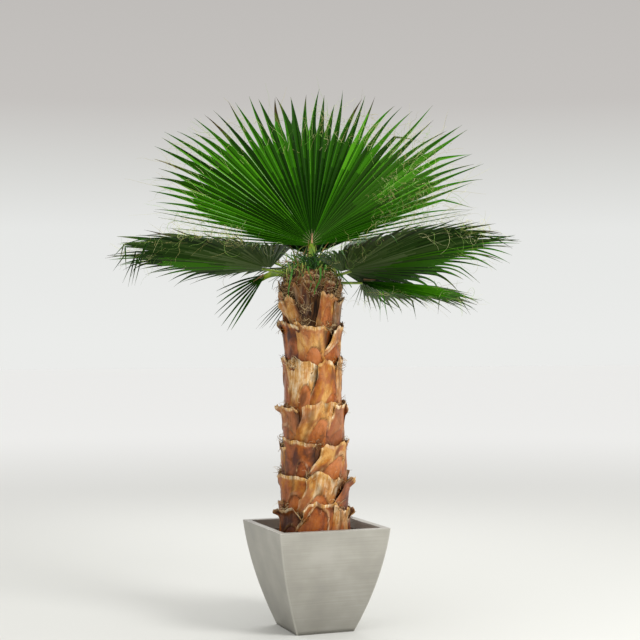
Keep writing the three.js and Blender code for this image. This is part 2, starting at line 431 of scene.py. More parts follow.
@dataclass(frozen=True)
class DryLeafBase:
    """Skinned old leaf bases, cut and dried: glossy red-orange cups in dull golden bands, pale torn edges.

    Two vertex attributes carry the pattern. grain is the place along the scale, in metres. marks holds
    the share of cup, of pale torn fibre, the tone of the scale from mauve to cream, and the darkening,
    which is partly dirt and partly painted shade in crevices, along the cups' creases and under neighbours.
    """

    mauve: str = "#522b1e"
    brown: str = "#6a360f"
    orange: str = "#964e13"
    gold: str = "#ab6a1c"
    cream: str = "#cb9852"
    rosy: str = "#a05c36"
    cup_dark: str = "#592508"
    cup_red: str = "#874012"
    cup_orange: str = "#9f571d"
    cup_pink: str = "#b57040"
    frayed: str = "#a1723c"
    torn: str = "#ead6b2"
    # The dark brown that is mixed in by dirt and by painted shade.
    dirt_and_shade: str = "#25150a"
    streak_width: float = 7.0
    streak_length: float = 70.0
    blotch: float = 50.0
    wrinkle: float = 42.0

    def material(self) -> bpy.types.Material:
        """Patches 50 mm wide with fine wrinkles darkened by painted shade, and faint streaks; the cups are
        the glossiest.
        """
        skin = Recipe("dry_cut_leaf_base", IOR=1.45, Specular_IOR_Level=0.34)
        grain = skin.add("Attribute", (), "Vector", attribute_name="grain")
        marks = skin.add("Attribute", (), "Color", attribute_name="marks")
        # Alpha carries the darkening: partly dirt, partly painted shade.
        dirt_and_shade_share = marks.node.outputs["Alpha"]
        cup, pale, tone = skin.add("SeparateColor", (marks,)).node.outputs
        stretch = (0.4 / (self.streak_width * MM), 0.4 / (self.streak_length * MM), 1.0)
        stretched = skin.add("Mapping", {"Vector": grain, "Scale": stretch})
        lengthwise = {"Vector": stretched, "Scale": 2.0, "Detail": 4.0, "Roughness": 0.6, "Distortion": 0.5}
        streaks = skin.add("TexNoise", lengthwise)
        blotches = {"Vector": grain, "Scale": 1 / (self.blotch * MM), "Detail": 4.0, "Roughness": 0.62}
        patches = skin.add("TexNoise", blotches)
        streaked = skin.add("Math", (streaks, 0.14, tone), operation="MULTIPLY_ADD")
        blotched = skin.add("Math", (patches, 1.6, streaked), operation="MULTIPLY_ADD")
        lowered = skin.add("Math", (blotched, 0.92), operation="SUBTRACT")
        stops = zip((0.0, 0.22, 0.45, 0.7, 1.0), (self.mauve, self.brown, self.orange, self.gold, self.cream))
        bands = skin.add("ValToRGB", (lowered,), stops=tuple(stops))
        blushes = {"Vector": grain, "Scale": 1 / (self.blotch * 1.3 * MM), "Detail": 2.0, "Distortion": 0.8}
        rosiness = skin.add("MapRange", (skin.add("TexNoise", blushes), 0.44, 0.6, 0.0, 0.75))
        bands = skin.add("Mix", {0: rosiness, 6: bands, 7: linear(self.rosy)}, 2, data_type="RGBA")
        flushed = skin.add("Math", (tone, 0.4, patches), operation="MULTIPLY_ADD")
        stops = zip((0.42, 0.56, 0.72, 0.92), (self.cup_dark, self.cup_red, self.cup_orange, self.cup_pink))
        cup_colour = skin.add("ValToRGB", (flushed,), stops=tuple(stops))
        cupped = skin.add("Mix", {0: cup, 6: bands, 7: cup_colour}, 2, data_type="RGBA")
        ragged = skin.add("Mix", {0: 0.5, 2: streaks, 3: patches})
        stops = ((0.37, self.frayed), (0.47, self.cream), (0.58, self.torn))
        fibrous = skin.add("ValToRGB", (ragged,), stops=stops)
        edged = skin.add("Mix", {0: pale, 6: cupped, 7: fibrous}, 2, data_type="RGBA")
        folds = {"Vector": grain, "Scale": 1 / (self.wrinkle * MM), "Detail": 3.0, "Distortion": 1.2}
        centred = skin.add("Math", (skin.add("TexNoise", folds), 0.5), operation="SUBTRACT")
        beside = skin.add("Math", (centred,), operation="ABSOLUTE")
        # Painted shade: the thin wrinkle lines are grooves in the relief and are darkened.
        wrinkles = skin.add("MapRange", (beside, 0.0, 0.014, 0.4, 0.0))
        darkened = skin.add("Math", (dirt_and_shade_share, wrinkles), operation="MAXIMUM")
        colour = skin.add("Mix", {0: darkened, 6: edged, 7: linear(self.dirt_and_shade)}, 2, data_type="RGBA")
        gloss = skin.add("MapRange", (cup, 0.0, 1.0, 0.44, 0.3))
        rough = skin.add("Mix", {0: pale, 2: gloss, 3: 0.75})
        uneven = skin.add("Math", (streaks, 0.25, patches), operation="MULTIPLY_ADD")
        height = skin.add("Math", (wrinkles, -0.5, uneven), operation="MULTIPLY_ADD")
        relief = skin.add("Bump", {"Height": height, "Distance": 0.005, "Strength": 0.6})
        return skin.feed(Base_Color=colour, Roughness=rough, Normal=relief)


class LeafTone(Enum):
    """Plain colours dealt out along the leaf segments, from deep shade to lit edge."""

    UPPER_DEEP = "#0c2d00"
    UPPER_DARK = "#194201"
    UPPER_MID = "#2a6103"
    UPPER_LIGHT = "#458312"
    # The palest green is a painted sheen, dealt only where the upper side gleams.
    UPPER_SHEEN = "#86b366"
    UNDER_DEEP = "#0f2407"
    UNDER_DARK = "#1e380f"
    UNDER_MID = "#33491f"
    UNDER_GREY = "#4f603a"
    UNDER_LIT = "#346b05"
    TIP_OLIVE = "#3f5216"
    TIP_BROWN = "#3b3016"


TONES = list(LeafTone)
SHEEN_TONE = TONES.index(LeafTone.UPPER_SHEEN)
FIRST_UNDER = TONES.index(LeafTone.UNDER_DEEP)
LIT = TONES.index(LeafTone.UNDER_LIT)
OLIVE = TONES.index(LeafTone.TIP_OLIVE)
BROWN = TONES.index(LeafTone.TIP_BROWN)


@dataclass(frozen=True)
class LivingLeaf:
    """A living palm leaf, grown stiff and waxy: one plain green a face, with a green gleam on its folds."""

    tone: LeafTone
    roughness: float = 0.42
    gloss: float = 0.16
    sheen: str = "#a9cf6a"
    cell: float = 3.0

    def material(self) -> bpy.types.Material:
        """One tone of leaf, its wax broken by cells 3 mm apart so that the gleam isn't glassy."""
        leaf = Recipe(
            f"palm_leaf_{self.tone.name.lower()}",
            Base_Color=linear(self.tone.value),
            Roughness=self.roughness,
            Specular_IOR_Level=self.gloss,
            Specular_Tint=linear(self.sheen),
            IOR=1.45,
        )
        place = leaf.add("TexCoord", (), "Object")
        cells = leaf.add("TexNoise", {"Vector": place, "Scale": 1 / (self.cell * 3 * MM), "Detail": 2.0})
        return leaf.feed(Normal=leaf.add("Bump", {"Height": cells, "Distance": 0.001, "Strength": 0.3}))


@dataclass(frozen=True)
class PlainFibre:
    """Dry thread, peeled from leaf edges: matte, pale straw to tan, one plain colour a strand."""

    name: str
    colour: str

    def material(self) -> bpy.types.Material:
        """One thread colour."""
        return Recipe(self.name, Base_Color=linear(self.colour), Roughness=0.75).made


def fibres(kind: str, **colours: str) -> list[PlainFibre]:
    """One kind of fibre in several colours."""
    return [PlainFibre(f"{kind}_{name}", colour) for name, colour in colours.items()]


@dataclass(frozen=True)
class LeafStalk:
    """A living leaf stalk, smooth-skinned: yellow-green along its top, browner towards its foot."""

    green: str = "#7a920e"
    shade: str = "#58740b"
    foot: str = "#7d5a22"
    streak: float = 5.0

    def material(self) -> bpy.types.Material:
        """Cloudy streaks about 5 mm wide; the vertex attribute foot browns the stalk near the stem."""
        stalk = Recipe("leaf_stalk_skin", Roughness=0.38, IOR=1.45)
        place = stalk.add("TexCoord", (), "Object")
        streaks = stalk.add("TexNoise", {"Vector": place, "Scale": 1 / (self.streak * 4 * MM), "Detail": 3.0})
        green = stalk.add("ValToRGB", (streaks,), stops=((0.4, self.shade), (0.6, self.green)))
        near = stalk.add("Attribute", (), "Fac", attribute_name="foot")
        colour = stalk.add("Mix", {0: near, 6: green, 7: linear(self.foot)}, 2, data_type="RGBA")
        relief = stalk.add("Bump", {"Height": streaks, "Distance": 0.001, "Strength": 0.4})
        return stalk.feed(Base_Color=colour, Normal=relief)


@dataclass(frozen=True)
class StudioPaper:
    """Seamless studio paper, rolled matte: a pale floor that gives soft light back."""

    near: str = "#cfcfca"
    far: str = "#f4f4f2"
    fade: Pair = (1.5, 14.0)

    def material(self) -> bpy.types.Material:
        """A matte near-white, greyer under the lamps so that it looks evenly lit, with a very fine grain."""
        paper = Recipe("matte_studio_paper", Roughness=0.9)
        place = paper.add("TexCoord", (), "Object")
        gone = paper.add("VectorMath", (place,), "Value", operation="LENGTH")
        share = paper.add("MapRange", (gone, *self.fade), interpolation_type="SMOOTHSTEP")
        colour = paper.add("ValToRGB", (share,), stops=((0.0, self.near), (1.0, self.far)))
        grain = paper.add("TexNoise", {"Vector": place, "Scale": 200.0, "Detail": 1.0})
        relief = paper.add("Bump", {"Height": grain, "Distance": 0.0002, "Strength": 0.1})
        return paper.feed(Base_Color=colour, Normal=relief)


# ---- Planter and soil ----


@dataclass
class Planter:
    """The square pot: bowed tapering walls, a flat rim and softened corners."""

    rim_side: float = 540.0
    foot_side: float = 284.0
    height: float = 485.0
    belly: float = 18.0
    rim_width: float = 34.0
    foot_wall: float = 24.0
    floor: float = 28.0
    steps: int = 28
    corner: float = 7.0
    rim_edge: float = 3.0

    def outer(self, z: float) -> float:
        """Half the outer width at a height."""
        t = z / self.height
        return mix(self.foot_side, self.rim_side, t) / 2 + 4 * self.belly * t * (1 - t)

    def hollow(self, z: float) -> float:
        """Half the width of the hollow at a height."""
        return self.outer(z) - mix(self.foot_wall, self.rim_width, z / self.height)

    def build(self, finish: BrushedCastClay) -> None:
        """Turns the wall's profile with four sides, softens its corners and dresses it.

        Args:
            finish: the pot's finish.
        """
        profile = [(0.0, 0.0)]
        profile += [(self.outer(z), z) for z in np.linspace(0.0, self.height, self.steps + 1)]
        profile += [(self.hollow(z), z) for z in np.linspace(self.height, self.floor, self.steps + 1)]
        profile += [(0.0, self.floor)]
        bm = bmesh.new()
        verts = [bm.verts.new((half, half, z)) for half, z in profile]
        edges = [bm.edges.new(pair) for pair in zip(verts, verts[1:])]
        bmesh.ops.spin(
            bm,
            geom=verts + edges,
            cent=(0, 0, 0),
            axis=(0, 0, 1),
            dvec=(0, 0, 0),
            angle=math.tau,
            steps=4,
            use_merge=True,
        )
        bmesh.ops.remove_doubles(bm, verts=bm.verts, dist=TOUCHING)
        bmesh.ops.recalc_face_normals(bm, faces=bm.faces)
        self.soften(bm)
        piece = settle("planter_shell", bm, [finish.material()], ["planter"])
        piece.modifiers.new("weighted", "WEIGHTED_NORMAL").keep_sharp = True

    def soften(self, bm: Mesh) -> None:
        """Rounds the four outer corners and both edges of the rim.

        Args:
            bm: the turned pot.
        """

        def at_corner(vert: bmesh.types.BMVert) -> bool:
            """Whether a vertex lies on one of the outer corners."""
            x, y, z = (abs(c) for c in vert.co)
            return abs(x - y) < TOUCHING and abs(x - self.outer(z)) < TOUCHING

        upright = [e for e in bm.edges if abs(e.verts[0].co.z - e.verts[1].co.z) > 0.1]
        bevel(bm, [e for e in upright if all(at_corner(v) for v in e.verts)], self.corner, 3)
        brim = [e for e in bm.edges if all(abs(v.co.z - self.height) < TOUCHING for v in e.verts)]
        bevel(bm, [e for e in brim if any(f.normal.z < 0.5 for f in e.link_faces)], self.rim_edge, 2)


@dataclass
class PottingSoil:
    """The fill: a lumpy top of crumbs and bark chips, down to the pot's floor."""

    planter: Planter
    top: float = 440.0
    cells: int = 72
    lump: float = 7.0
    lump_width: float = 60.0
    crumb_width: float = 17.0
    crumb_share: float = 0.6
    shoulder: float = 12.0
    layers: int = 7
    chips: int = 900
    chip: tuple[float, float, float] = (9.0, 5.0, 2.5)
    seed: int = 5

    def surface(self, x: float, y: float) -> float:
        """The height of the soil at a place."""
        lumps = waver(x / self.lump_width, y / self.lump_width, 1.0) * self.lump
        crumbs = waver(x / self.crumb_width, y / self.crumb_width, 2.0) * self.lump * self.crumb_share
        return self.top + (lumps + crumbs)

    def build(self, finish: PottingMix, bark: Sequence[PlainFibre]) -> None:
        """Makes the lumpy block of soil and the loose chips on it.

        Args:
            finish: the soil's finish.
            bark: the finishes of the chips.
        """
        half = self.planter.hollow(self.top) - CLEARANCE

        def lumpy(u: float, v: float) -> Sequence[float]:
            """A point of the top."""
            x, y = u * half, (2 * v - 1) * half
            return x, y, self.surface(x, y)

        bm = bmesh.new()
        warped_grid(bm, self.cells, self.cells, lumpy)
        for z in np.linspace(self.top - self.shoulder, self.planter.floor + CLEARANCE, self.layers):
            rim = [e for e in bm.edges if e.is_boundary]
            side = bmesh.ops.extrude_edge_only(bm, edges=rim)["geom"]
            now = self.planter.hollow(z) - CLEARANCE
            for vert in [g for g in side if isinstance(g, bmesh.types.BMVert)]:
                span = max(abs(vert.co.x), abs(vert.co.y))
                vert.co = (vert.co.x / span * now, vert.co.y / span * now, z)
        close(bm)
        settle("soil_block", bm, [finish.material()], ["potting_soil"])
        self.scatter(half, [f.material() for f in bark])

    def scatter(self, half: float, materials: list[bpy.types.Material]) -> None:
        """Lays loose bark chips on the soil, each a crooked block of six faces.

        Args:
            half: half the width of the soil's top.
            materials: the chips' materials.
        """
        rng = np.random.default_rng(self.seed)
        edge = half - self.shoulder
        centres = rng.uniform(-edge, edge, (self.chips, 2))
        square = ((-1.0, -1.0), (1.0, -1.0), (1.0, 1.0), (-1.0, 1.0))
        corner = np.array([(x, y, z) for z in (-1.0, 1.0) for x, y in square])
        sizes = rng.uniform(0.35, 1.0, (self.chips, 1, 3)) * np.array(self.chip)
        shapes = corner * sizes + rng.normal(0, 0.7, (self.chips, 8, 3))
        turn = rng.uniform(0, math.tau, self.chips)
        tip = rng.normal(0, 0.35, self.chips)
        ahead = np.stack((np.cos(turn) * np.cos(tip), np.sin(turn) * np.cos(tip), np.sin(tip)), axis=-1)
        side = np.stack((-np.sin(turn), np.cos(turn), np.zeros(self.chips)), axis=-1)
        points = np.array([(x, y, self.surface(x, y) + 2) for x, y in centres])[:, None]
        for axis, along in enumerate((ahead, side, np.cross(ahead, side))):
            points = points + shapes[..., axis : axis + 1] * along[:, None]
        block = ((3, 2, 1, 0), (4, 5, 6, 7), (0, 1, 5, 4), (1, 2, 6, 5), (2, 3, 7, 6), (3, 0, 4, 7))
        faces = [[8 * one + i for i in quad] for one in range(self.chips) for quad in block]
        tones = np.repeat(rng.integers(0, len(materials), self.chips), len(block))
        settle("bark_chips", joined_mesh("bark_chips", points, faces, tones), materials)


# ---- Trunk and its old leaf bases ----


@dataclass
class Trunk:
    """The stem under the leaf bases: matted fibre with a slight lean, from the soil to its domed tip."""

    foot: float = 440.35
    tip: float = 1676.0
    lean: Pair = (-24.0, -7.0)
    heights: tuple[float, ...] = (440, 520, 700, 900, 1100, 1300, 1450, 1560, 1620, 1655, 1676)
    radii: tuple[float, ...] = (146, 136, 130, 121, 112, 107, 110, 116, 112, 98, 66)
    around: int = 120
    up: int = 170
    ridge: float = 4.0

    def centre(self, z: float) -> Array:
        """The axis at a height."""
        t = (z - self.foot) / (self.tip - self.foot)
        return np.array((self.lean[0] * t, self.lean[1] * t, z))

    def radius(self, z: float) -> float:
        """The core's radius at a height."""
        return float(np.interp(z, self.heights, self.radii))

    def bark(self, u: float, v: float) -> Array:
        """A point of the fibrous surface: upright ridges and hollows, inside the plain core's surface.

        Args:
            u: the place round the stem, from -1 to 1.
            v: the place up it, from 0 to 1.

        Returns:
            the point.
        """
        z = mix(self.foot, self.tip, v)
        out = level(180 * u)
        x, y = out[:2]
        ridges = waver(x * 9, y * 9, z / 70) + 0.6 * waver(x * 22, y * 22, z / 40)
        inside = self.ridge * (0.6 - ridges) * (1 - step(v, 0.97, 1.0))
        return self.centre(z) + out * (self.radius(z) - inside)

    def build(self, finish: MattedFibre) -> None:
        """Bends a grid round the stem, welds it shut and dresses it."""
        bm = bmesh.new()
        bmesh.ops.remove_doubles(bm, verts=warped_grid(bm, self.around, self.up, self.bark), dist=MM)
        close(bm)
        settle("fibrous_stem", bm, [finish.material()], ["trunk"])


@dataclass
class Scale:
    """One old leaf base: a broad domed tongue that clasps the stem, with slanting sides and a cut top.

    It laps over its neighbour on one side, and its foot runs down behind the tops under it. The smooth
    red tissue that bulges from its foot is the cup. lean is how far its top is turned round the stem
    against its foot, and slant is how much higher its top is on its left. tone runs from 0, mauve, to 1,
    cream. pale is the share of torn fibre all over it. lifted is the side, 1 or -1, that stands off. The
    last sizes are heights of its relief.
    """

    azimuth: float
    foot: float
    top: float
    flare: float
    seed: float
    lean: float = 0.0
    slant: float = 0.0
    dip: float = 8.0
    tone: float = 0.5
    pale: float = 0.0
    cup: float = 1.0
    cup_wide: float = 0.6
    cup_high: float = 0.55
    cup_at: float = 0.0
    narrow: float = 1.0
    curl: float = 6.0
    # A share of darkening all over the scale: partly dirt, partly painted shade.
    dirt_and_shade: float = 0.0
    half_angle: float = 45.0
    top_share: float = 0.74
    tongue: float = 62.0
    belly: float = 8.0
    wave: float = 15.0
    thick: float = 5.0
    cut: float = 0.945
    edged: float = 1.0
    lifted: int = 1
    cup_dome: float = 10.0
    cup_sunk: float = 8.0
    cup_lip: float = 3.0
    fold: float = 7.0
    crinkle: float = 1.3
    stand_off: float = 6.0
    tuck: float = 5.0

    def share(self, up: float) -> float:
        """The scale's width against its foot's: two arms below, that draw in to a stub."""
        stub = self.top_share * self.narrow * (1 + 0.05 * step(up, 0.7, 1.0))
        return mix(1.0, stub, step(up, -0.1, 0.8))

    def arch(self, u: float, up: float) -> float:
        """How far out of the oval cup at its foot a place is: under 1 inside it."""
        aside = abs(u - self.cup_at - 0.1 * waver(up * 3, 0.0, self.seed)) / (1.2 * self.cup_wide)
        return (max(0.0, up - 0.16) / self.cup_high) ** 2.4 + aside**2.2

    def height_over(self, u: float, up: float) -> float:
        """The relief at a place, over the plain flare.

        Args:
            u: the place across, from -1 to 1.
            up: the place up, from 0 to 1.

        Returns:
            the height.
        """
        arch = self.arch(u, up)
        inside = 1 - step(arch, 0.9, 1.06)
        round_body = self.belly * (1 - abs(u) ** 2.4) * math.sin(math.pi * min(1.0, up / 0.96) ** 0.75)
        dome = self.cup * inside * (self.cup_dome * (1 - min(1.0, arch) ** 2) - self.cup_sunk)
        lip = self.cup_lip * self.cup * bump(arch, 1.12, 0.14)
        folds = self.fold * waver(u * 1.6, up * 1.8, self.seed)
        folds = folds + self.crinkle * waver(u * 6, up * 5.0, self.seed + 3)
        lifted = self.stand_off * step(self.lifted * u, 0.2, 1.0) * mix(0.7, 1.0, up)
        tucked = -self.tuck * step(-self.lifted * u, 0.5, 1.0)
        rolled = step(up, 0.86, 1.0) * (1 + 0.9 * waver(u * 2.0, 7.0, self.seed))
        horned = 0.5 * step(abs(u), 0.6, 1.0) * step(up, 0.82, 1.0)
        relief = round_body + dome + lip + folds * (1 - 0.5 * inside) + lifted + tucked
        return relief + self.curl * (rolled + horned)

    def point(self, trunk: Trunk, u: float, up: float) -> Array:
        """A point of the outer face.

        Args:
            trunk: the stem that the scale hugs.
            u: the place across, from -1 to 1.
            up: the place up, from 0 to 1.

        Returns:
            the point.
        """
        waves = self.wave * (2.0 * waver(u * 1.4, 3.0, self.seed) + 0.6 * waver(u * 5.0, 5.0, self.seed))
        cut = waves - self.slant * u - self.dip * (1 - u * u) - 9.0 * step(abs(u), 0.7, 1.0)
        low = self.foot - self.tongue * (1 - abs(u) ** 1.6)
        z = mix(low, self.top, up) + cut * step(up, 0.3, 1.0)
        angle = self.azimuth + u * self.half_angle * self.share(up) + self.lean * step(up, 0.05, 1.0)
        touching = trunk.radius(min(z, trunk.tip - 20)) + self.thick + 2.0
        spread = self.flare * (0.1 * step(up, 0.1, 0.45) + 0.9 * up**2)
        return trunk.centre(z) + level(angle) * (touching + spread + self.height_over(u, up))

    def marks(self, u: float, up: float) -> tuple[float, float, float, float]:
        """The colour marks at a place.

        Args:
            u: the place across, from -1 to 1.
            up: the place up, from 0 to 1.

        Returns:
            the shares of cup and torn fibre, the tone, and the darkening by dirt and by painted shade.
        """
        arch = self.arch(u, up)
        cup = min(1.0, self.cup * 1.3) * (1 - step(arch, 0.88, 1.04))
        rough = 0.02 * waver(u * 6, up * 6, self.seed + 9)
        broken = step(waver(u * 2.4, 2.0, self.seed + 20), -0.3, 0.1)
        torn = self.edged * step(up + rough, self.cut, self.cut + 0.02) * mix(0.3, 1.0, broken)
        thin = self.edged * step(waver(up * 4, 1.0, self.seed + 40), -0.35, 0.15)
        side = thin * step(self.lifted * u + rough, 0.93, 0.96) * step(up, 0.05, 0.3)
        lip = 0.7 * thin * self.cup * bump(arch, 1.13, 0.07)
        flecks = self.pale * step(waver(u * 2.2, up * 1.8, self.seed + 5) + 0.9 * up - 0.25, 0.0, 0.35)
        tone = self.tone + 0.6 * waver(u * 1.8, up * 2.2, self.seed + 11) + 0.45 * (up - 0.45)
        # Painted shade: the foot, tucked behind the tops of the ring below, is darkened.
        low = 0.75 * (1 - step(up, 0.1, 0.34))
        # Painted shade along the crease where the cup sinks below the skin.
        crease = 0.7 * self.cup * bump(arch, 0.99, 0.05)
        # Painted shadow on the side that is tucked under the neighbour's lifted edge.
        tucked = 0.8 * step(-self.lifted * u, 0.62, 1.0) * (1 - torn)
        mossy = 0.5 * step(waver(u * 3.1, up * 3.3, self.seed + 31), 0.16, 0.5)
        pale = max(torn, side, lip, flecks) * (1 - cup)
        return (cup, pale, min(1.0, max(0.0, tone)), min(1.0, max(low, crease, tucked, mossy, self.dirt_and_shade)))

    def grow(self, bm: Mesh, trunk: Trunk, across: int = 34, rows: int = 34) -> None:
        """Adds the scale to a mesh: a grid bent to its outer face, given its thickness inwards.

        Args:
            bm: the mesh, which has the layers marks and grain.
            trunk: the stem that it hugs.
            across: cells across.
            rows: cells up.
        """
        marks = bm.verts.layers.float_color["marks"]
        grain = bm.verts.layers.float_vector["grain"]
        verts = warped_grid(bm, across, rows, lambda u, v: (u, v, 0.0))
        wide = trunk.radius(self.foot) * math.radians(self.half_angle)
        for vert in verts:
            u, up = vert.co.x, vert.co.y
            vert[marks] = self.marks(u, up)
            vert[grain] = Vector((wide * u * MM, up * (self.top - self.foot) * MM, self.seed))
            vert.co = self.point(trunk, u, up)
        faces = list({face for vert in verts for face in vert.link_faces})
        bmesh.ops.solidify(bm, geom=faces, thickness=self.thick)


def scales_mesh() -> Mesh:
    """An empty bmesh with the layers that scales are marked in."""
    bm = bmesh.new()
    bm.verts.layers.float_color.new("marks")
    bm.verts.layers.float_vector.new("grain")
    return bm


# The range of chance for each look of a scale and of a sheath, in the order of the draws.
SCALE_CHANCES: dict[str, Pair] = {
    "lean": (-2, 22),
    "slant": (-18, 18),
    "dip": (-12, 8),
    "tone": (0.1, 0.7),
    "pale": (-0.4, 0.45),
    "cup": (0.2, 1.0),
    "cup_wide": (0.35, 0.75),
    "cup_high": (0.35, 0.72),
    "cup_at": (-0.2, 0.2),
    "narrow": (0.9, 1.12),
    "curl": (0, 9),
}
SHEATH_CHANCES: dict[str, Pair] = {
    "azimuth": (-8, 8),
    "top": (-9, 7),
    "seed": (100, 200),
    "tone": (0.1, 0.65),
    "pale": (-0.5, 0.6),
    "slant": (-5, 5),
    "dip": (-3, 3),
    "curl": (0, 4),
    "dirt_and_shade": (0.15, 0.65),
    "half_angle": (0.45, 0.85),
    "top_share": (0.8, 1.05),
    "lean": (-10, 10),
}


@dataclass
class LeafBases:
    """All the old leaf bases, ring by ring, placed by the source's rule and its repeatable jitter."""

    trunk: Trunk
    own_looks: dict[str, dict[str, float]]
    tops: tuple[float, ...] = (570, 716, 880, 1045, 1246, 1415, 1547, 1606)
    counts: tuple[int, ...] = (7, 6, 6, 6, 6, 6, 6, 4)
    firsts: tuple[float, ...] = (44, 12, 38, 8, 40, 12, 40, 52)
    flares: tuple[float, ...] = (30, 33, 30, 28, 24, 26, 30, 28)
    half_angles: tuple[float, ...] = (39, 45, 45, 45, 45, 43, 24, 30)
    tuck: float = 38.0
    turn_jitter: float = 1.6
    top_jitter: float = 14.0
    seed: int = 7

    def jitter(self) -> list[float]:
        """The source's repeatable chance numbers, from -1 to 1."""
        state, draws = self.seed, []
        for _ in range(2 * sum(self.counts)):
            state = (state * 1664525 + 1013904223) % 4294967296
            draws.append(state / 4294967296 * 2 - 1)
        return draws

    def scales(self) -> list[list[tuple[str, Scale]]]:
        """Works out every scale.

        Returns:
            ring by ring, the name of the solid that each scale stands for, and the scale.
        """
        draws = self.jitter()
        rng = np.random.default_rng(self.seed)
        rings = []
        foot = self.trunk.foot
        for r, (top, count, first, flare) in enumerate(zip(self.tops, self.counts, self.firsts, self.flares)):
            ring = []
            for i in range(count):
                turn, lift = draws.pop(0), draws.pop(0)
                label = f"{r + 1}{'abcdefg'[i]}"
                azimuth = first + 360 / count * i + turn * self.turn_jitter
                looks = {"half_angle": self.half_angles[r], "lifted": -1} | dealt(rng, SCALE_CHANCES)
                looks |= self.own_looks.get(label, {})
                looks["seed"] = (10 * r + i) * 1.7
                scale = Scale(azimuth, foot, top + lift * self.top_jitter, flare, **looks)
                ring.append((f"leaf_base_{label}", scale))
            rings.append(ring)
            foot = top - self.tuck
        return rings

    def build(self, finish: DryLeafBase) -> None:
        """Makes one piece of each ring of scales.

        Args:
            finish: the finish of them all.
        """
        material = finish.material()
        for r, ring in enumerate(self.scales()):
            bm = scales_mesh()
            for _, scale in ring:
                scale.grow(bm, self.trunk)
            settle(f"leaf_base_ring_{r + 1}", bm, [material], [node for node, _ in ring])


@dataclass
class CrownSheaths:
    """The newest cut sheaths, close round the stem's tip under the living stalks."""

    trunk: Trunk
    feet: tuple[float, ...] = (1552, 1572, 1590, 1606)
    tops: tuple[float, ...] = (1616, 1634, 1650, 1667)
    counts: tuple[int, ...] = (8, 7, 7, 6)
    firsts: tuple[float, ...] = (20, 62, 36, 9)
    flares: tuple[float, ...] = (14, 4, -3, -8)
    seed: int = 31

    def build(self, finish: DryLeafBase) -> None:
        """Makes one piece of the sheaths: low plates with level cuts, laid one row over the next.

        Args:
            finish: the finish of them all.
        """
        rng = np.random.default_rng(self.seed)
        plain = {"cup": 0.0, "tongue": 0.0, "belly": 2.0, "wave": 4.0, "thick": 7.0, "cut": 0.87}
        rows = zip(self.feet, self.tops, self.counts, self.firsts, self.flares)
        bm = scales_mesh()
        for foot, top, count, first, flare in rows:
            for i in range(count):
                looks = dealt(rng, SHEATH_CHANCES)
                looks["azimuth"] += first + 360 / count * i
                looks["top"] += top
                looks["half_angle"] *= 180 / count
                sheath = Scale(foot=foot, flare=flare, lifted=1 if i % 2 else -1, **looks, **plain)
                sheath.grow(bm, self.trunk, 26, 16)
        settle("crown_sheaths", bm, [finish.material()])


# ---- Threads ----


def curly_paths(
    rng: Chance, starts: Array, headings: Array, lengths: Array, curl: float, fall: float, steps: int
) -> Array:
    """Works out the paths of loose curly threads.

    Args:
        rng: the source of their chance.
        starts: the point where each leaves what carries it.
        headings: the direction in which it leaves.
        lengths: the length of each.
        curl: how sharply they turn, in degrees a step.
        fall: how soon they turn down.
        steps: the points along each.

    Returns:
        points by thread and step.
    """
    count = len(starts)
    ahead = unit(headings + rng.normal(0, 0.35, (count, 3)))
    here = starts.copy()
    points = [here]
    phase = rng.uniform(0, math.tau, count)
    rate = rng.uniform(0.15, 0.7, count) * rng.choice((-1, 1), count)
    first = unit(np.cross(ahead, unit(rng.normal(0, 1, (count, 3)))))
    second = np.cross(ahead, first)
    bend = math.tan(math.radians(curl)) * rng.uniform(0.5, 1.5, (count, 1))
    for number in range(1, steps):
        turn = phase + rate * number
        push = first * np.cos(turn)[:, None] + second * np.sin(turn)[:, None]
        ahead = unit(ahead + push * bend - UP * fall)
        here = here + ahead * (lengths / (steps - 1))[:, None]
        points.append(here)
    return np.stack(points, axis=1)


def thread_piece(
    name: str,
    paths: Array,
    girth: Array,
    tones: Array,
    finishes: Sequence[PlainFibre],
    flat: float = 1.0,
) -> None:
    """Makes one piece of many three-sided threads or strips.

    Args:
        name: the piece's name.
        paths: points by thread and step.
        girth: the half width of each thread.
        tones: the number of each thread's finish.
        finishes: the thread finishes.
        flat: the thickness against the width, under 1 for a strip.
    """
    materials = [finish.material() for finish in finishes]
    count, steps, _ = paths.shape
    askew = unit(np.array((0.31, 0.52, 0.79)))
    along = unit(np.gradient(paths, axis=1))
    across = unit(np.cross(along, askew))
    over = np.cross(across, along) * flat
    taper = np.linspace(1.0, 0.35, steps)[None, :, None] * girth[:, None, None]
    angles = [-math.tau * corner / 3 for corner in range(3)]
    ring = [paths + (across * math.cos(angle) + over * math.sin(angle)) * taper for angle in angles]
    tones = np.concatenate((np.repeat(tones, (steps - 1) * 3), np.repeat(tones, 2)))
    mesh = joined_mesh(name, np.stack(ring, axis=2), tube_faces(count, steps, 3), tones)
    settle(name, mesh, materials)


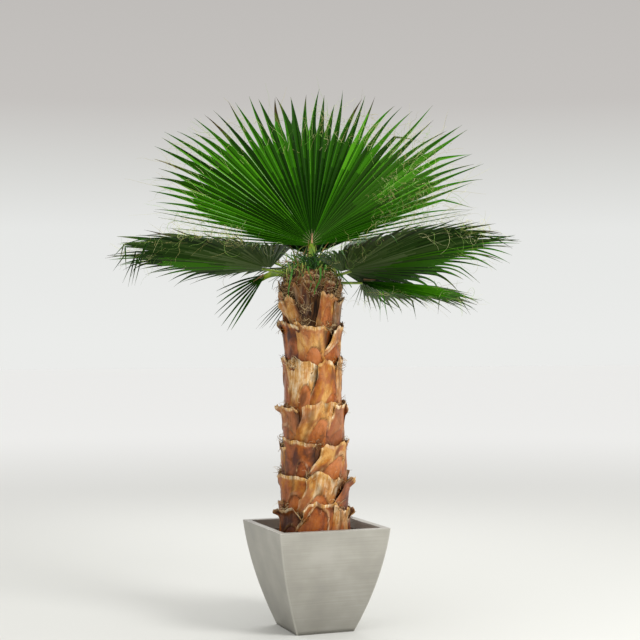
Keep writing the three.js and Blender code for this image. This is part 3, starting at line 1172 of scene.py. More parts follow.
@dataclass
class StemFibres:
    """Curly brown fibres, matted in the notches between the leaf bases' tops and round the crown's foot."""

    trunk: Trunk
    rings: list[list[tuple[str, Scale]]]
    each_clump: int = 85
    clump_height: float = 14.0
    clump_turn: float = 8.0
    clump_out: float = 26.0
    clump_top: float = 1650.0
    clump_drop: float = 34.0
    notch_jitter: float = 8.0
    least_out: float = 8.0
    round_crown: int = 650
    crown: Pair = (1545.0, 1672.0)
    crown_out: float = 24.0
    length: Pair = (18.0, 62.0)
    girth: Pair = (0.8, 1.9)
    curl: float = 30.0
    fall: float = 0.02
    steps: int = 10
    seed: int = 21

    def build(self, finishes: Sequence[PlainFibre]) -> None:
        """Grows a clump of fibres in each notch, and a loose mat under the crown.

        Args:
            finishes: the fibres' finishes.
        """
        rng = np.random.default_rng(self.seed)
        starts, headings = [], []

        def grow(z: float, angle: float, out: float, highest: float) -> None:
            """Starts a fibre over the stem, whose radius counts up to the highest place."""
            gone = self.trunk.radius(min(z, highest)) + rng.uniform(self.least_out, out)
            starts.append(self.trunk.centre(z) + level(angle) * gone)
            headings.append(level(angle + rng.uniform(-90, 90)) * 0.8 + UP * rng.uniform(-1.0, 1.0))

        for ring in self.rings:
            for _, scale in ring:
                notch = scale.azimuth + scale.lean + 180 / len(ring)
                notch = notch + rng.uniform(-self.notch_jitter, self.notch_jitter)
                high = scale.top - rng.uniform(0, self.clump_drop)
                for _ in range(int(self.each_clump * rng.uniform(0.2, 1.0))):
                    z, angle = high + rng.normal(0, self.clump_height), notch + rng.normal(0, self.clump_turn)
                    grow(z, angle, self.clump_out, self.clump_top)
        for _ in range(self.round_crown):
            grow(rng.uniform(*self.crown), rng.uniform(0, 360), self.crown_out, self.trunk.tip)
        count = len(starts)
        lengths = rng.uniform(*self.length, count)
        bend = (self.curl, self.fall, self.steps)
        paths = curly_paths(rng, np.array(starts), np.array(headings), lengths, *bend)
        girth = rng.uniform(*self.girth, count)
        thread_piece("stem_fibres", paths, girth, rng.integers(0, len(finishes), count), finishes)


@dataclass
class SheathShreds:
    """Shreds of young green sheaths: a leafy tangle round the stalks' feet, and strips that hang down."""

    trunk: Trunk
    tangled: int = 280
    leafy: int = 120
    hanging: int = 44
    wide_at: tuple[float, ...] = (205.0, 242.0, 268.0, 318.0, 20.0, 95.0, 150.0)
    wide: Pair = (5.0, 8.5)
    bare_at: float = 247.0
    bare_width: float = 22.0
    bare_from: float = 1660.0
    curl: float = 9.0
    fall: float = 0.08
    steps: int = 10
    flat: float = 0.25
    seed: int = 51

    def build(self, finishes: Sequence[PlainFibre]) -> None:
        """Makes one piece of the strips.

        Args:
            finishes: the strips' finishes, the greenest first.
        """
        rng = np.random.default_rng(self.seed)
        kinds = np.repeat((0, 1, 2), (self.tangled, self.leafy, self.hanging))
        count, many = len(kinds), len(self.wide_at)

        def each(*ranges: Pair) -> Array:
            """A value for each strip, from the range of its kind: tangled, leafy or hanging."""
            return rng.uniform(*np.array(ranges)[kinds].T)

        angles = rng.uniform(0, 360, count)
        gone = each((12, 100), (10, 70), (119, 131))
        heights = each((1640, 1745), (1650, 1700), (1665, 1706))
        bare = (kinds < 2) & (np.abs(angles - self.bare_at) < self.bare_width) & (heights > self.bare_from)
        angles = np.where(bare, angles + 2 * self.bare_width, angles)
        angles[-many:] = self.wide_at
        angles = np.radians(angles)
        outward = np.stack((np.cos(angles), np.sin(angles), np.zeros(count)), axis=-1)
        middle = self.trunk.centre(self.trunk.tip) * (1, 1, 0)
        starts = middle + outward * gone[:, None] + UP * heights[:, None]
        rise = each((-0.5, 0.9), (0.3, 1.2), (-1.5, -1.2))
        aside = each((0.1, 1.0), (0.3, 1.2), (0.2, 0.4))
        headings = outward * aside[:, None] + UP * rise[:, None]
        lengths = each((40, 130), (70, 130), (70, 150))
        paths = curly_paths(rng, starts, headings, lengths, self.curl, self.fall, self.steps)
        girth = each((1.6, 4.6), (4.0, 9.0), (2.0, 4.6))
        girth[-many:] = rng.uniform(*self.wide, many)
        tones = rng.integers(0, np.array((len(finishes), 2, 4))[kinds])
        tones[-many:] = 1
        thread_piece("sheath_shreds", paths, girth, tones, finishes, self.flat)


# ---- Fronds ----

# Corners round a leaf segment: five on its upper side and three under it.
CORNERS = 8


@dataclass
class BladeRule:
    """What every blade shares: the source's fan, carried from lobes to single segments."""

    eye: float = 13.0
    costa: float = 0.04
    shoulder: float = 42.0
    side_share: float = 0.71
    segment_angle: float = 3.1
    side_notch: float = 0.17
    loose_from: float = 0.74
    notch_spread: float = 0.04
    end_notch: float = 0.06
    fused_rows: int = 12
    free_rows: int = 19
    length: Pair = (0.88, 1.05)
    stunted: float = 0.2
    stunted_share: float = 0.06
    drift: float = 1.0
    astray: float = 2.4
    astray_share: float = 0.2
    hang_turns: Pair = (15.0, 95.0)
    wave: float = 0.013
    twist: float = 28.0
    fold: float = 0.27
    free_fold: float = 0.17
    rib: float = 1.9
    leaf: float = 0.8
    least_half: float = 0.35
    ridge_line: float = 0.24
    valley_line: float = 0.3


@dataclass
class StalkRule:
    """What every leaf stalk shares."""

    foot_width: float = 46.0
    hub_width: float = 30.0
    foot_thick: float = 22.0
    hub_thick: float = 15.0
    root_height: float = 1600.0
    root_depth: float = 30.0
    root_radius: float = 62.0
    root_rise: float = 0.36
    root_draw: float = 0.2
    straight: float = 0.45
    sunk: float = 40.0
    brown: Pair = (10.0, 60.0)


@dataclass
class FanFrond:
    """One fan leaf: a stalk and a round blade of folded segments, fused inside and free at their tips.

    hang is how far the segments on one side sink, in degrees: above 0 on the left, under 0 on the right.
    notch is where the segments come free of each other, coarse how many times wider they are than most
    fronds', and loose how split the left and the right side are. torn gives two turns, and how much
    deeper and shorter the segments between them are cut. broken gives the share of segments whose tips
    hang, between which turns, and how steeply. shine and lit give where the upper side gleams and where
    daylight comes through the underside: two turns, two shares of the reach, and how dense it is. tone,
    side_tone and under lighten the upper side, its flanks and the underside. droop is how far the tips
    sink, as a share of the reach.
    """

    node: str
    azimuth: float
    hub: float
    height: float
    slope: float
    roll: float
    lift: float
    reach: float
    left: float
    right: float
    sag: float
    seed: int
    trunk: Trunk
    hang: float = 0.0
    notch: float = 0.67
    coarse: float = 1.0
    loose: Pair = (1.0, 1.0)
    tone: float = 0.0
    side_tone: float = 0.0
    under: float = 0.0
    torn: tuple[float, float, float] = (0.0, 0.0, 0.0)
    broken: tuple[float, float, float, float, float] = (0.05, -180.0, 180.0, 0.45, 0.95)
    shine: tuple[float, float, float, float, float] = (0.0, 0.0, 0.2, 0.7, 0.0)
    lit: tuple[float, float, float, float, float] = (0.0, 0.0, 0.5, 0.9, 0.0)
    droop: float = 0.03
    rule: BladeRule = field(default_factory=BladeRule)
    stalk: StalkRule = field(default_factory=StalkRule)

    def __post_init__(self) -> None:
        """Works out the frond's own directions and its hub."""
        slope, roll = math.radians(self.slope), math.radians(self.roll)
        self.away = level(self.azimuth)
        self.axis = self.away * math.cos(slope) + UP * math.sin(slope)
        flat_side = np.cross(UP, self.away)
        self.side = flat_side * math.cos(roll) + np.cross(self.axis, flat_side) * math.sin(roll)
        self.face = np.cross(self.axis, self.side)
        self.hub_at = self.trunk.centre(self.trunk.tip) + self.away * self.hub
        self.hub_at[2] = self.height

    def distance(self, turn: Array, out: Array) -> Array:
        """How far points of the blade are from the hub, along their segments."""
        rule = self.rule
        share = mix(1.0, rule.side_share, smooth(np.abs(turn), rule.shoulder, 2 * rule.shoulder))
        return mix(rule.eye, self.reach * share, out)

    def blade(self, turn: Array, out: Array) -> Array:
        """Points of the smooth blade.

        Args:
            turn: angles from the midline, with left positive.
            out: shares of the segments' length.

        Returns:
            one point for each pair.
        """
        distance = self.distance(turn, out)
        spread = np.where(turn > 0, self.left, self.right)
        root = self.reach * self.rule.costa * (1 - np.abs(turn) / spread)
        ahead = np.cos(np.radians(turn))
        sideways = np.sin(np.radians(turn))
        lift = distance * np.abs(sideways) * math.sin(math.radians(self.lift))
        hung = smooth(math.copysign(1.0, self.hang) * turn, *self.rule.hang_turns)
        sunk = np.radians(abs(self.hang)) * hung
        sag = self.sag * self.reach * (distance / self.reach) ** 3
        sag = sag + distance * np.abs(sideways) * np.sin(sunk)
        return (
            self.hub_at
            + self.axis * (distance * ahead + root * (1 - out * ahead))[..., None]
            + self.side * (distance * sideways * np.cos(sunk))[..., None]
            + self.face * lift[..., None]
            - UP * sag[..., None]
        )

    def normal(self, turn: Array, out: Array) -> Array:
        """The directions that the smooth blade's upper side faces at those places."""
        at = self.blade(turn, out)
        outward = self.blade(turn, out + 0.01) - at
        return unit(np.cross(self.blade(turn - 1, out + 0.01) - at, outward))

    def notches(self, rng: Chance, edges: Array) -> tuple[Array, Array, Array]:
        """Works out how far in each edge between segments is split.

        Args:
            rng: the source of the frond's chance.
            edges: the turns of the edges.

        Returns:
            the shares where the splits start, how loose each side is, and how torn, by edge.
        """
        rule = self.rule
        loose = smooth(np.abs(edges) / np.where(edges > 0, self.left, self.right), rule.loose_from, 1.0)
        loose = loose * np.where(edges > 0, *self.loose)
        low, high, depth = self.torn
        torn = depth * ((edges > low) & (edges < high))
        notch = mix(self.notch, rule.side_notch, loose) - torn
        notch = np.clip(notch + rng.normal(0, rule.notch_spread, len(edges)), 0.1, 0.86)
        notch[0] = notch[-1] = rule.end_notch
        return notch, loose, torn

    def segment_points(self, rng: Chance) -> tuple[Array, Array, Array]:
        """Works out every segment's points.

        Args:
            rng: the source of the frond's chance.

        Returns:
            points by segment, row and corner; the turn of each segment; and the rows' shares.
        """
        rule = self.rule
        count = round((self.left + self.right) / rule.segment_angle / self.coarse)
        pitch = (self.left + self.right) / count
        edges = self.left - np.arange(count + 1) * pitch
        fused = np.linspace(0.0, self.notch, rule.fused_rows, endpoint=False)
        out = np.concatenate((fused, np.linspace(self.notch, 1.0, rule.free_rows)))
        grid = np.broadcast_to(out, (count, len(out)))
        notch, loose, torn = self.notches(rng, edges)
        loose = loose[:-1, None]
        start = np.maximum(notch[:-1], notch[1:])[:, None]
        free = np.clip((grid - start) / (1 - start), 0, 1)

        one_each = (count, 1)
        middle = (edges[:-1] - pitch / 2)[:, None]
        drift = rng.normal(0, rule.drift, one_each)
        astray = rng.normal(0, rule.astray, one_each)
        drift = drift + astray * (rng.random(one_each) < rule.astray_share)
        length = rng.uniform(*rule.length, one_each)
        length = length - rule.stunted * (rng.random(one_each) < rule.stunted_share)
        length = length - 0.9 * torn[:-1, None] * (length < 0.97)
        reach = np.where(free > 0, start + (grid - start) * length, grid)
        up = self.normal(np.broadcast_to(middle, grid.shape), grid)
        centre = self.blade(middle + drift * free**1.4, reach)
        wave = rng.normal(0, rule.wave, one_each) * self.reach
        droop = self.droop * self.reach * np.abs(rng.normal(0, 1.0, one_each)) * (1 - 0.75 * loose)
        centre = centre + up * (wave * free**2)[..., None] - UP * (droop * free**2)[..., None]
        sideways = unit(np.cross(up, np.gradient(centre, axis=1)))
        centre = self.bend_broken(rng, centre, free, middle[:, 0])

        along = unit(np.gradient(centre, axis=1))
        sideways = unit(sideways - along * np.sum(sideways * along, axis=-1, keepdims=True))
        over = np.cross(along, sideways)
        twist = np.radians(rng.normal(0, rule.twist, one_each) * free)[..., None]
        cos, sin = np.cos(twist), np.sin(twist)
        sideways, over = sideways * cos + over * sin, over * cos - sideways * sin

        half_pitch = math.radians(pitch / 2)
        folding = mix(rule.fold, rule.free_fold, smooth(grid, 0.15, 0.75)) * 2
        fold = folding * (half_pitch * self.distance(middle, grid))
        margins = []
        edges, notch = edges[:, None], notch[:, None]
        for side, edge, split in ((1, edges[:-1], notch[:-1]), (-1, edges[1:], notch[1:])):
            past = np.clip((grid - split) / (1 - split), 0, 1)
            held = half_pitch * self.distance(middle, np.minimum(grid, np.maximum(split, 0.45)))
            necked = 1 - (0.14 + 0.3 * loose) * smooth(past, 0, 0.14)
            slim = (1 - past) ** (1.05 / self.coarse**0.4) * necked
            half = np.maximum(held * slim, rule.least_half)
            at = np.broadcast_to(edge, grid.shape)
            shared = self.blade(at, grid) + self.normal(at, grid) * fold[..., None]
            slack = np.minimum(fold, half * 2 * rule.free_fold)
            own = centre + sideways * (side * half)[..., None] + over * slack[..., None]
            apart = (grid > 0) * smooth(grid - split, -0.005, 0.035)
            margins.append((mix(shared, own, apart[..., None]), half))
        (left, half_left), (right, half_right) = margins
        half = np.minimum(half_left, half_right)
        rib = centre - over * np.minimum(fold, half * folding)[..., None]
        thick = over * np.minimum(1.0, half / 4.0 + 0.15)[..., None]
        raised = over * (0.02 * half)[..., None]
        left_top = mix(left, rib, rule.ridge_line) + raised
        right_top = mix(rib, right, rule.valley_line) + raised
        below = (right_top - thick * rule.leaf, rib - thick * rule.rib, left_top - thick * rule.leaf)
        return np.stack((left, left_top, rib, right_top, right, *below), axis=2), middle[:, 0], out

    def bend_broken(self, rng: Chance, centre: Array, free: Array, turns: Array) -> Array:
        """Lets the tips of some segments hang from a sharp bend.

        Args:
            rng: the source of the frond's chance.
            centre: points by segment and row.
            free: the share of the free part at each.
            turns: the turn of each segment.

        Returns:
            the points with the broken ones moved.
        """
        share, low, high, least, most = self.broken
        count = len(turns)
        chance = rng.random(count)
        at = rng.uniform(0.08, 0.55, count)
        amount = rng.uniform(least, most, count)
        astray = rng.normal(0, 0.12, (count, 3))
        for one in np.flatnonzero((chance <= share) & (low < turns) & (turns < high)):
            row = int(np.argmax(free[one] > at[one]))
            rest = centre[one, row:] - centre[one, row]
            span = np.linalg.norm(rest, axis=1, keepdims=True)
            hanging = unit(unit(rest) * (1 - amount[one]) - UP * amount[one] + astray[one])
            centre[one, row:] = centre[one, row] + hanging * span
        return centre

    def face_tones(self, rng: Chance, turns: Array, out: Array) -> Array:
        """Deals the leaf colours out by segment, row and side, with painted light and shade on the folds and
        a painted sheen.

        Args:
            rng: the source of the frond's chance.
            turns: the turn of each segment.
            out: the rows' shares.

        Returns:
            material numbers by segment, row and corner, then two for each segment's ends.
        """
        count = len(turns)
        mid = (out[:-1] + out[1:])[None, :, None] / 2
        own = rng.normal(0, 0.38, (count, 1, 1))
        sides = np.arange(CORNERS)[None, None, :]
        streak = rng.normal(0, 0.5, (count, 1, CORNERS))
        slanting = np.sin(np.radians(turns))[:, None, None]
        # Painted light and shade: on a slanting segment the flank that faces up is lightened and the other
        # flank darkened.
        flank = np.where(sides < 2, 1.0, -1.0) * slanting
        # A painted highlight on the thin face along the ridge, and painted shade on the thin face in the
        # valley by the rib.
        lines = 0.8 * (sides == 0) - 0.9 * (sides == 2)
        upper = 0.8 + self.tone + self.side_tone * smooth(np.abs(slanting), 0.3, 0.9)
        upper = upper + own + streak + lines + 0.7 * flank + 1.0 * smooth(mid, 0.2, 0.7)
        upper = np.clip(np.round(upper), 0, SHEEN_TONE - 1)
        # Painted sheen: the lightest greens where the upper side gleams.
        gleam = self.patch(rng, self.shine, turns, mid) * (sides < 2)
        upper = np.where(gleam > 0, SHEEN_TONE - 1, upper)
        upper = np.where((gleam > 0.06) & (sides == 0), SHEEN_TONE, upper)
        inner = 1 - smooth(mid, 0.12, 0.6)
        under = 1.3 + self.under + own + streak + 1.6 * inner - 0.5 * smooth(mid, 0.5, 0.9)
        under = FIRST_UNDER + np.clip(np.round(under), 0, 3)
        under = np.where(self.patch(rng, self.lit, turns, mid) > 0, LIT, under)
        tones = np.where(sides < 4, upper, under)
        dry = rng.uniform(0.9, 1.1, (count, 1, 1)) + rng.normal(0, 0.02, (count, 1, CORNERS))
        dry = np.where(rng.random((count, 1, 1)) < 0.08, dry - 0.14, dry)
        tones = np.where(mid > dry - 0.04, OLIVE, tones)
        tones = np.where(mid > dry + 0.03, BROWN, tones)
        return np.concatenate((tones.reshape(-1), np.full(2 * count, BROWN))).astype(int)

    def patch(self, rng: Chance, where: tuple, turns: Array, mid: Array) -> Array:
        """Picks ragged streaks of faces in one part of the blade, denser towards its middle.

        Args:
            rng: the source of the frond's chance.
            where: two turns, two shares of the reach, and the density.
            turns: the turn of each segment.
            mid: the shares of the rows' middles.

        Returns:
            how far inside its streak each face lies, by segment, row and corner; not above 0 outside.
        """
        low, high, near, far, density = where
        count = len(turns)
        middle = 1 - np.abs(turns[:, None, None] - (low + high) / 2) / max(1.0, (high - low) / 2)
        ragged = rng.normal(0, 0.09, (2, count, 1, CORNERS))
        picked = rng.random((count, 1, CORNERS)) < density * np.clip(0.35 + middle, 0, 1)
        inside = np.minimum(mid - near - ragged[0], far + ragged[1] - mid)
        return np.where(picked & (middle > 0), inside, -1.0)

    def build(self, materials: list[bpy.types.Material]) -> None:
        """Makes the blade's piece, which stands for the frond's solid.

        Args:
            materials: one for each leaf tone.
        """
        rng = np.random.default_rng(self.seed)
        points, turns, out = self.segment_points(rng)
        faces = tube_faces(len(turns), len(out), CORNERS)
        name = f"fan_blade_{self.node[6:8]}"
        mesh = joined_mesh(name, points, faces, self.face_tones(rng, turns, out))
        settle(name, mesh, materials, [self.node])

    def stalk_path(self, t: float) -> tuple[Array, Array]:
        """Follows the stalk.

        Args:
            t: the share of its length.

        Returns:
            the axis there, and its direction.
        """
        rule = self.stalk
        extra = max(0.0, self.height - rule.root_height)
        root_z = min(self.trunk.tip - rule.root_depth, rule.root_height + extra * rule.root_rise)
        root = self.trunk.centre(root_z) + self.away * (rule.root_radius - extra * rule.root_draw)
        under_hub = self.hub_at - self.face * rule.hub_thick / 2
        bend = under_hub - self.axis * rule.straight * float(np.linalg.norm(under_hub - root))
        end = under_hub + self.axis * rule.sunk
        at = root * (1 - t) ** 2 + bend * 2 * t * (1 - t) + end * t * t
        return at, unit((bend - root) * (1 - t) + (end - bend) * t)

    def grow_stalk(self, bm: Mesh) -> None:
        """Adds the stalk: flat on top, round below, from inside the stem's tip to under the blade.

        Args:
            bm: the mesh, which has the layer foot.
        """
        rule = self.stalk
        foot = bm.verts.layers.float["foot"]

        def place(u: float, t: float) -> Array:
            """A point of the skin, u going once round."""
            at, ahead = self.stalk_path(t)
            across = unit(np.cross(ahead, self.face))
            above = np.cross(across, ahead)
            wide = mix(rule.foot_width, rule.hub_width, t**0.6) / 2 * (1 - 0.4 * step(t, 0.97, 1.0))
            height = math.sin(math.pi * u) * (0.5 if u > 0 else 1.0)
            thick = mix(rule.foot_thick, rule.hub_thick, t) / 2
            return at + across * wide * math.cos(math.pi * u) + above * thick * height

        verts = warped_grid(bm, 20, 26, place)
        for vert in verts:
            gone = float(np.linalg.norm(np.array(vert.co) - self.stalk_path(0.0)[0]))
            vert[foot] = 1 - step(gone, *rule.brown)
        bmesh.ops.remove_doubles(bm, verts=verts, dist=MM)
        close(bm)


@dataclass
class Crown:
    """The ten fronds and what they carry between them: stalks, hub ribs and curly threads.

    A tangle is told by its frond's number, the turn of its middle and how far it spreads to each side,
    the share of the reach and how far it spreads along it, and how many threads it has. bends gives how
    sharply loose threads, tangled ones and edge fibres turn, in degrees a step, and how soon they fall.
    """

    fronds: list[FanFrond]
    curls: int = 80
    edge_fibres: int = 24
    rib_fibres: int = 230
    tangles: tuple[tuple[float, ...], ...] = (
        (0, -62, 20, 0.54, 0.2, 330),
        (0, -26, 24, 0.7, 0.09, 110),
        (0, 82, 7, 0.55, 0.14, 90),
        (0, 0, 50, 0.72, 0.12, 60),
        (1, 60, 14, 0.8, 0.08, 45),
        (1, -30, 16, 0.62, 0.1, 14),
        (2, -22, 14, 0.8, 0.08, 34),
        (2, -75, 20, 0.5, 0.2, 24),
        (3, 0, 30, 0.8, 0.1, 6),
    )
    bare_reach: float = 400.0
    full_reach: float = 900.0
    spike: float = 62.0
    spike_foot: float = 8.0
    spike_half: float = 5.0
    spike_steps: int = 6
    ribs: int = 11
    rib_spread: float = 0.8
    rib_half: float = 1.5
    rib_share: float = 0.045
    rib_lift: float = 3.0
    girth: Pair = (0.45, 0.95)
    bends: tuple[Pair, Pair, Pair] = ((12.0, 0.05), (30.0, 0.03), (3.0, 0.01))
    thread_steps: int = 18
    seed: int = 77

    def build(self) -> None:
        """Makes the blades, the stalks, the hubs' spikes and ribs, and the threads."""
        materials = [LivingLeaf(tone).material() for tone in TONES]
        for frond in self.fronds:
            frond.build(materials)
        bm = bmesh.new()
        bm.verts.layers.float.new("foot")
        for frond in self.fronds:
            frond.grow_stalk(bm)
        settle("leaf_stalks", bm, [LeafStalk().material()])
        self.hubs()
        self.threads()

    def hubs(self) -> None:
        """Adds the dry brown spike on each hub, and the pale ribs that spread from it."""
        share = np.linspace(0.0, 1.0, self.spike_steps)
        out = share * self.rib_share
        paths, tones = [], []
        for frond in self.fronds:
            foot = frond.axis * self.spike_foot + frond.face * (3 * self.rib_lift)
            paths.append(frond.hub_at + foot + share[:, None] * frond.axis * self.spike)
            turns = np.linspace(-self.rib_spread * frond.right, self.rib_spread * frond.left, self.ribs)
            for turn in turns:
                along = np.full(len(share), turn)
                paths.append(frond.blade(along, out) + frond.normal(along, out) * self.rib_lift)
            tones += [0] + [1] * len(turns)
        girth = np.where(np.array(tones) == 0, self.spike_half, self.rib_half)
        finishes = [PlainFibre("dry_leaf_spike", "#9a7450"), PlainFibre("pale_leaf_rib", "#6f7a48")]
        thread_piece("leaf_hubs", np.array(paths), girth, np.array(tones), finishes)

    def threads(self) -> None:
        """Grows the pale threads that leaf edges shed: loose curls, tangles, and fibres along the edges."""
        rng = np.random.default_rng(self.seed)
        finishes = fibres("thread", straw="#c3c489", green="#82a848", tan="#a39c5c")
        loose, tight, straight = [], [], []
        for frond in self.fronds:
            if frond.reach < self.bare_reach:
                continue
            whole = (frond.left - frond.right) / 2, (frond.left + frond.right) / 2 - 3
            many = int(self.curls * frond.reach / self.full_reach)
            loose.append(self.strands(rng, frond, (*whole, 0.74, 0.14), many, (40, 170)))
            straight.append(self.strands(rng, frond, (*whole, 0.66, 0.1), self.edge_fibres, (60, 190)))
        straight.append(self.strands(rng, self.fronds[0], (0, 84, 0.68, 0.16), self.rib_fibres, (70, 260)))
        for index, *part, many in self.tangles:
            tight.append(self.strands(rng, self.fronds[index], part, many, (40, 130)))
        kinds = (("leaf_threads", loose), ("thread_tangles", tight), ("edge_fibres", straight))
        for (name, rows), (curl, fall) in zip(kinds, self.bends):
            starts, headings, lengths = (np.concatenate(column) for column in zip(*rows))
            paths = curly_paths(rng, starts, headings, lengths, curl, fall, self.thread_steps)
            girth = rng.uniform(*self.girth, len(starts))
            thread_piece(name, paths, girth, rng.integers(0, len(finishes), len(starts)), finishes)

    def strands(
        self, rng: Chance, frond: FanFrond, part: Sequence[float], many: int, length: Pair
    ) -> tuple[Array, Array, Array]:
        """Chooses where the threads on one part of a blade start.

        Args:
            rng: the source of their chance.
            frond: the frond that carries them.
            part: the turn and how far it spreads, and the share of the reach and how far it spreads.
            many: how many threads.
            length: the least and the greatest length.

        Returns:
            the threads' starts, headings and lengths.
        """
        turn, spread, out, depth = part
        turns = turn + rng.uniform(-spread, spread, many)
        outs = out + rng.uniform(-depth, depth, many)
        at = frond.blade(turns, outs)
        normal = frond.normal(turns, outs)
        along = unit(frond.blade(turns, outs + 0.05) - at)
        headings = along + normal * rng.normal(0.1, 0.35, (many, 1))
        return at + normal * rng.choice((-5.0, 6.0), (many, 1)), headings, rng.uniform(*length, many)


# ---- Studio ----


@dataclass
class Studio:
    """A pale floor, plain soft light and the camera.

    A lamp is told by its name, its place and its side in metres, and its watts. The sky's stops run from
    the horizon up.
    """

    bearing: float = 21.06
    back: float = 6476.0
    shift_right: float = 23.1
    height: float = 1339.5
    pitch: float = 0.884
    focal_pixels: float = 1379.0
    frame_pixels: float = 640.0
    sensor: float = 36.0
    aim: tuple[float, float, float] = (0.0, 0.0, 1.3)
    lamps: tuple[tuple[str, tuple[float, float, float], float, float], ...] = (
        ("key", (2.4, -4.4, 4.0), 2.0, 250),
        ("fill", (-3.6, -2.4, 2.6), 3.0, 20),
        ("rim", (1.0, 3.4, 3.8), 2.4, 60),
    )
    sky: tuple[tuple[float, str], ...] = (
        (0.0, "#ebecea"),
        (0.08, "#e6e7e5"),
        (0.125, "#d6d6d3"),
        (0.17, "#c5c2bf"),
        (0.25, "#bfbcb9"),
        (0.55, "#ffffff"),
    )
    floor_half: float = 60000.0

    def build(self) -> None:
        """Sets up the floor, the world, the lamps and the camera."""
        self.floor()
        self.world()
        for name, at, side, watts in self.lamps:
            data = bpy.data.lights.new(name, "AREA")
            data.size = side
            data.energy = watts
            self.hang(name, data, Vector(at), Vector(self.aim) - Vector(at))
        self.camera()
        view = bpy.context.scene.view_settings
        view.view_transform = "Standard"
        view.look = "None"

    def hang(self, name: str, data: bpy.types.ID, at: Vector, sight: Vector) -> bpy.types.Object:
        """Puts a lamp or a camera in its place.

        Args:
            name: its name.
            data: the lamp or the camera.
            at: its place, in metres.
            sight: the direction it looks in.

        Returns:
            its object.
        """
        thing = bpy.data.objects.new(name, data)
        thing.location = at
        thing.rotation_euler = sight.to_track_quat("-Z", "Y").to_euler()
        bpy.context.scene.collection.objects.link(thing)
        return thing

    def floor(self) -> None:
        """Lays the wide pale floor."""
        bm = bmesh.new()
        bmesh.ops.create_grid(bm, x_segments=8, y_segments=8, size=self.floor_half)
        mesh = mesh_of(bm, "studio_floor")
        mesh.materials.append(StudioPaper().material())
        floor = bpy.data.objects.new("studio_floor", mesh)
        bpy.context.scene.collection.objects.link(floor)

    def world(self) -> None:
        """A pale room all round: bright near the horizon, greyer above."""
        world = bpy.data.worlds.new("studio")
        world.use_nodes = True
        bpy.context.scene.world = world
        nodes = Nodes(world.node_tree)
        height = nodes.add("SeparateXYZ", (nodes.add("TexCoord", (), "Generated"),), "Z")
        background = world.node_tree.nodes["Background"]
        world.node_tree.links.new(nodes.add("ValToRGB", (height,), stops=self.sky), background.inputs[0])
        background.inputs[1].default_value = 1.0

    def camera(self) -> None:
        """Sets the camera up level with the trunk's middle, a little left of the planter's front."""
        turn = math.radians(self.bearing)
        right = np.array((math.cos(turn), -math.sin(turn), 0.0))
        ahead = np.array((math.sin(turn), math.cos(turn), 0.0))
        at = right * self.shift_right - ahead * self.back + UP * self.height
        data = bpy.data.cameras.new("camera")
        data.sensor_width = self.sensor
        data.lens = self.focal_pixels / self.frame_pixels * self.sensor
        tilt = math.radians(self.pitch)
        sight = Vector(ahead * math.cos(tilt) + UP * math.sin(tilt))
        bpy.context.scene.camera = self.hang("camera", data, Vector(at * MM), sight)


# ---- The whole plant ----

# azimuth, hub, height, slope, roll, lift, reach, left, right, sag, and the frond's own looks
FRONDS: dict[str, tuple] = {
    "frond_01_rear_upright": (
        (67, 112, 1795, 55, 0, 3, 1080, 90, 85, 0.03),
        dict(
            tone=-0.25,
            side_tone=0.35,
            shine=(26.0, 92.0, 0.2, 0.74, 0.5),
            torn=(-80.0, -8.0, 0.045),
            broken=(0.3, -88.0, -8.0, 0.08, 0.4),
            droop=0.018,
        ),
    ),
    "frond_02_left": (
        (163, 190, 1681, 8, 6, 4, 795, 99, 58, 0.05),
        dict(
            hang=-9.0,
            broken=(0.7, -14.0, 24.0, 0.45, 0.95),
            lit=(-56.0, -6.0, 0.35, 0.8, 0.75),
            loose=(-0.4, 0.4),
        ),
    ),
    "frond_03_right": (
        (-31, 150, 1664, 14, -5, 4, 845, 78, 98, 0.06),
        dict(
            hang=16.0,
            broken=(0.35, 20.0, 78.0, 0.05, 0.25),
            lit=(4.0, 78.0, 0.25, 0.95, 0.6),
            droop=0.05,
            loose=(0.45, 0.25),
        ),
    ),
    "frond_04_right_low": ((1, 262, 1626, -2, 0, -13, 560, 75, 112, 0.04), dict(tone=0.6, under=1.2)),
    "frond_05_left_low": (
        (140, 225, 1657, -33, -62, -2, 315, 34, 30, 0.04),
        dict(tone=-0.3, coarse=2.6, notch=0.16, loose=(0.0, 0.0), lit=(-40.0, 40.0, 0.0, 1.0, 0.15)),
    ),
    "frond_06_rear_low": ((84, 205, 1600, -42, 0, -6, 290, 45, 52, 0.05), dict(coarse=1.6, notch=0.4)),
    "frond_07_rear_right": ((24, 200, 1716, 18, 3, 3, 780, 43, 50, 0.08), {}),
    "frond_08_rear": ((67, 255, 1694, 5, 0, -2, 780, 56, 64, 0.04), {}),
    "frond_09_rear_middle": ((69, 165, 1750, 34, 0, 3, 830, 56, 54, 0.05), {}),
    "frond_10_rear_left": ((117, 200, 1716, 15, -3, 3, 780, 50, 43, 0.08), {}),
}

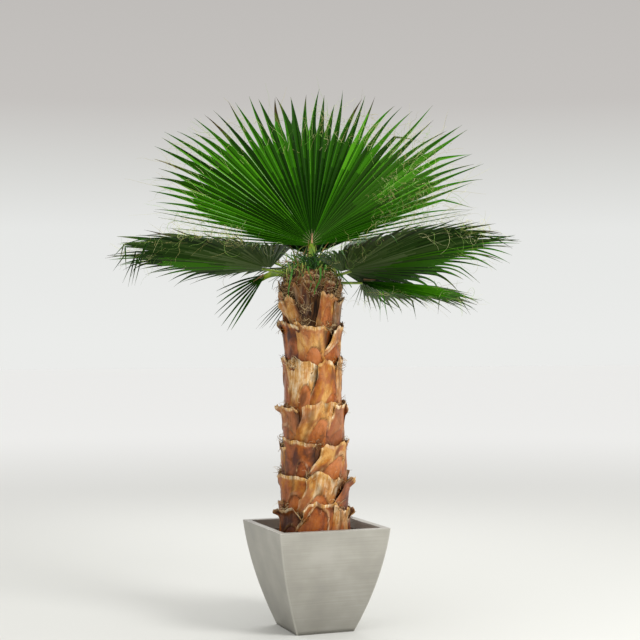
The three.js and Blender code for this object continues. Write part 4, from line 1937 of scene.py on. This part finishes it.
# The scales whose own looks are told; the rest are left to chance.
SCALE_LOOKS: dict[str, dict[str, float]] = {
    "1d": dict(tone=0.05, dirt_and_shade=0.4, cup=0.8, curl=14.0),
    "1e": dict(tone=0.35, cup=1.0, cup_wide=0.6, cup_high=0.75, slant=-8.0, belly=20.0, pale=0.0),
    "1f": dict(tone=0.55, pale=0.5, cup=0.0, narrow=0.8),
    "2d": dict(tone=0.4, cup=1.0, cup_wide=0.4, cup_high=0.5, cup_at=0.3, pale=0.0, slant=10.0),
    "2e": dict(tone=0.7, pale=0.6, cup=1.0, cup_high=0.5, cup_wide=0.45, lean=18.0, narrow=0.9),
    "2f": dict(tone=0.0, pale=0.0, cup=0.2, curl=20.0, narrow=0.8, lean=24.0),
    "3d": dict(tone=0.2, pale=0.0, cup=1.0, cup_wide=0.3, cup_high=0.5, cup_at=0.2, lean=5.0),
    "3e": dict(tone=0.7, pale=0.0, cup=1.0, cup_wide=0.6, cup_high=0.62, lean=20.0, half_angle=54.0),
    "4d": dict(tone=0.45, pale=0.1, cup=0.6, curl=16.0, lean=0.0),
    "4e": dict(tone=0.7, cup=1.0, cup_wide=0.4, cup_high=0.6, dip=-8.0, lean=20.0, half_angle=54.0),
    "4f": dict(tone=0.05, pale=0.1, cup=0.4, lean=26.0, half_angle=52.0),
    "5d": dict(tone=0.85, pale=0.8, cup=1.0, cup_at=0.3, cup_wide=0.35, cup_high=0.5, lean=8.0),
    "5e": dict(tone=0.6, pale=0.0, cup=0.8, lean=8.0, narrow=0.7, belly=16.0, half_angle=51.0),
    "5f": dict(tone=0.5, pale=0.4, cup=0.2, lean=-6.0, half_angle=50.0),
    "6d": dict(tone=0.15, pale=0.0, cup=0.2, curl=12.0),
    "6e": dict(tone=0.8, pale=0.1, cup=1.0, cup_wide=0.45, cup_high=0.5, dip=0.0, lean=-4.0),
    "6f": dict(tone=0.5, pale=0.2, cup=1.0, cup_wide=0.6, lean=10.0, narrow=0.7, half_angle=56.0),
    "7d": dict(tone=0.7, pale=0.3, cup=0.0, half_angle=17.0, top_share=1.1, curl=3.0, lean=-22.0),
    "7e": dict(tone=0.6, pale=0.0, cup=0.8, top_share=0.8, curl=6.0, lean=6.0, edged=0.3),
    "7f": dict(tone=0.1, dirt_and_shade=0.35, cup=0.0, half_angle=42.0, top_share=0.9, curl=4.0, lean=-8.0),
    "8a": dict(tone=0.3, pale=0.6, cup=0.0, dirt_and_shade=0.2, belly=2.0, wave=15.0),
    "8b": dict(tone=0.5, pale=0.5, cup=0.0, dirt_and_shade=0.1, belly=2.0, wave=15.0),
    "8c": dict(tone=0.2, pale=0.3, cup=0.0, dirt_and_shade=0.5, belly=0.0, wave=16.0, half_angle=18.0),
    "8d": dict(tone=0.4, pale=0.4, cup=0.0, dirt_and_shade=0.3, belly=2.0, wave=15.0),
}


def main() -> None:
    """Builds the palm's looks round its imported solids, and notes how large they are."""
    logging.basicConfig(level=logging.INFO, format="%(message)s")
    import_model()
    Studio().build()
    planter = Planter()
    planter.build(BrushedCastClay())
    PottingSoil(planter).build(PottingMix(), fibres("bark_chip", dark="#3a2616", brown="#5f4228"))
    trunk = Trunk()
    trunk.build(MattedFibre())
    bases = LeafBases(trunk, SCALE_LOOKS)
    bases.build(DryLeafBase())
    browns = fibres("stem_fibre", brown="#5d3f1e", tan="#8f6f42", pale="#c1a77c")
    StemFibres(trunk, bases.scales()).build(browns)
    CrownSheaths(trunk).build(DryLeafBase())
    greens = dict(deep_green="#1d450a", green="#35700f", olive="#69752a", pale="#9aa04a", dry="#83602f")
    SheathShreds(trunk).build(fibres("sheath_shred", **greens))
    fronds = []
    for seed, (node, (place, looks)) in enumerate(FRONDS.items()):
        fronds.append(FanFrond(node, *place, seed=100 + seed, trunk=trunk, **looks))
    Crown(fronds).build()


if __name__ == "__main__":
    main()
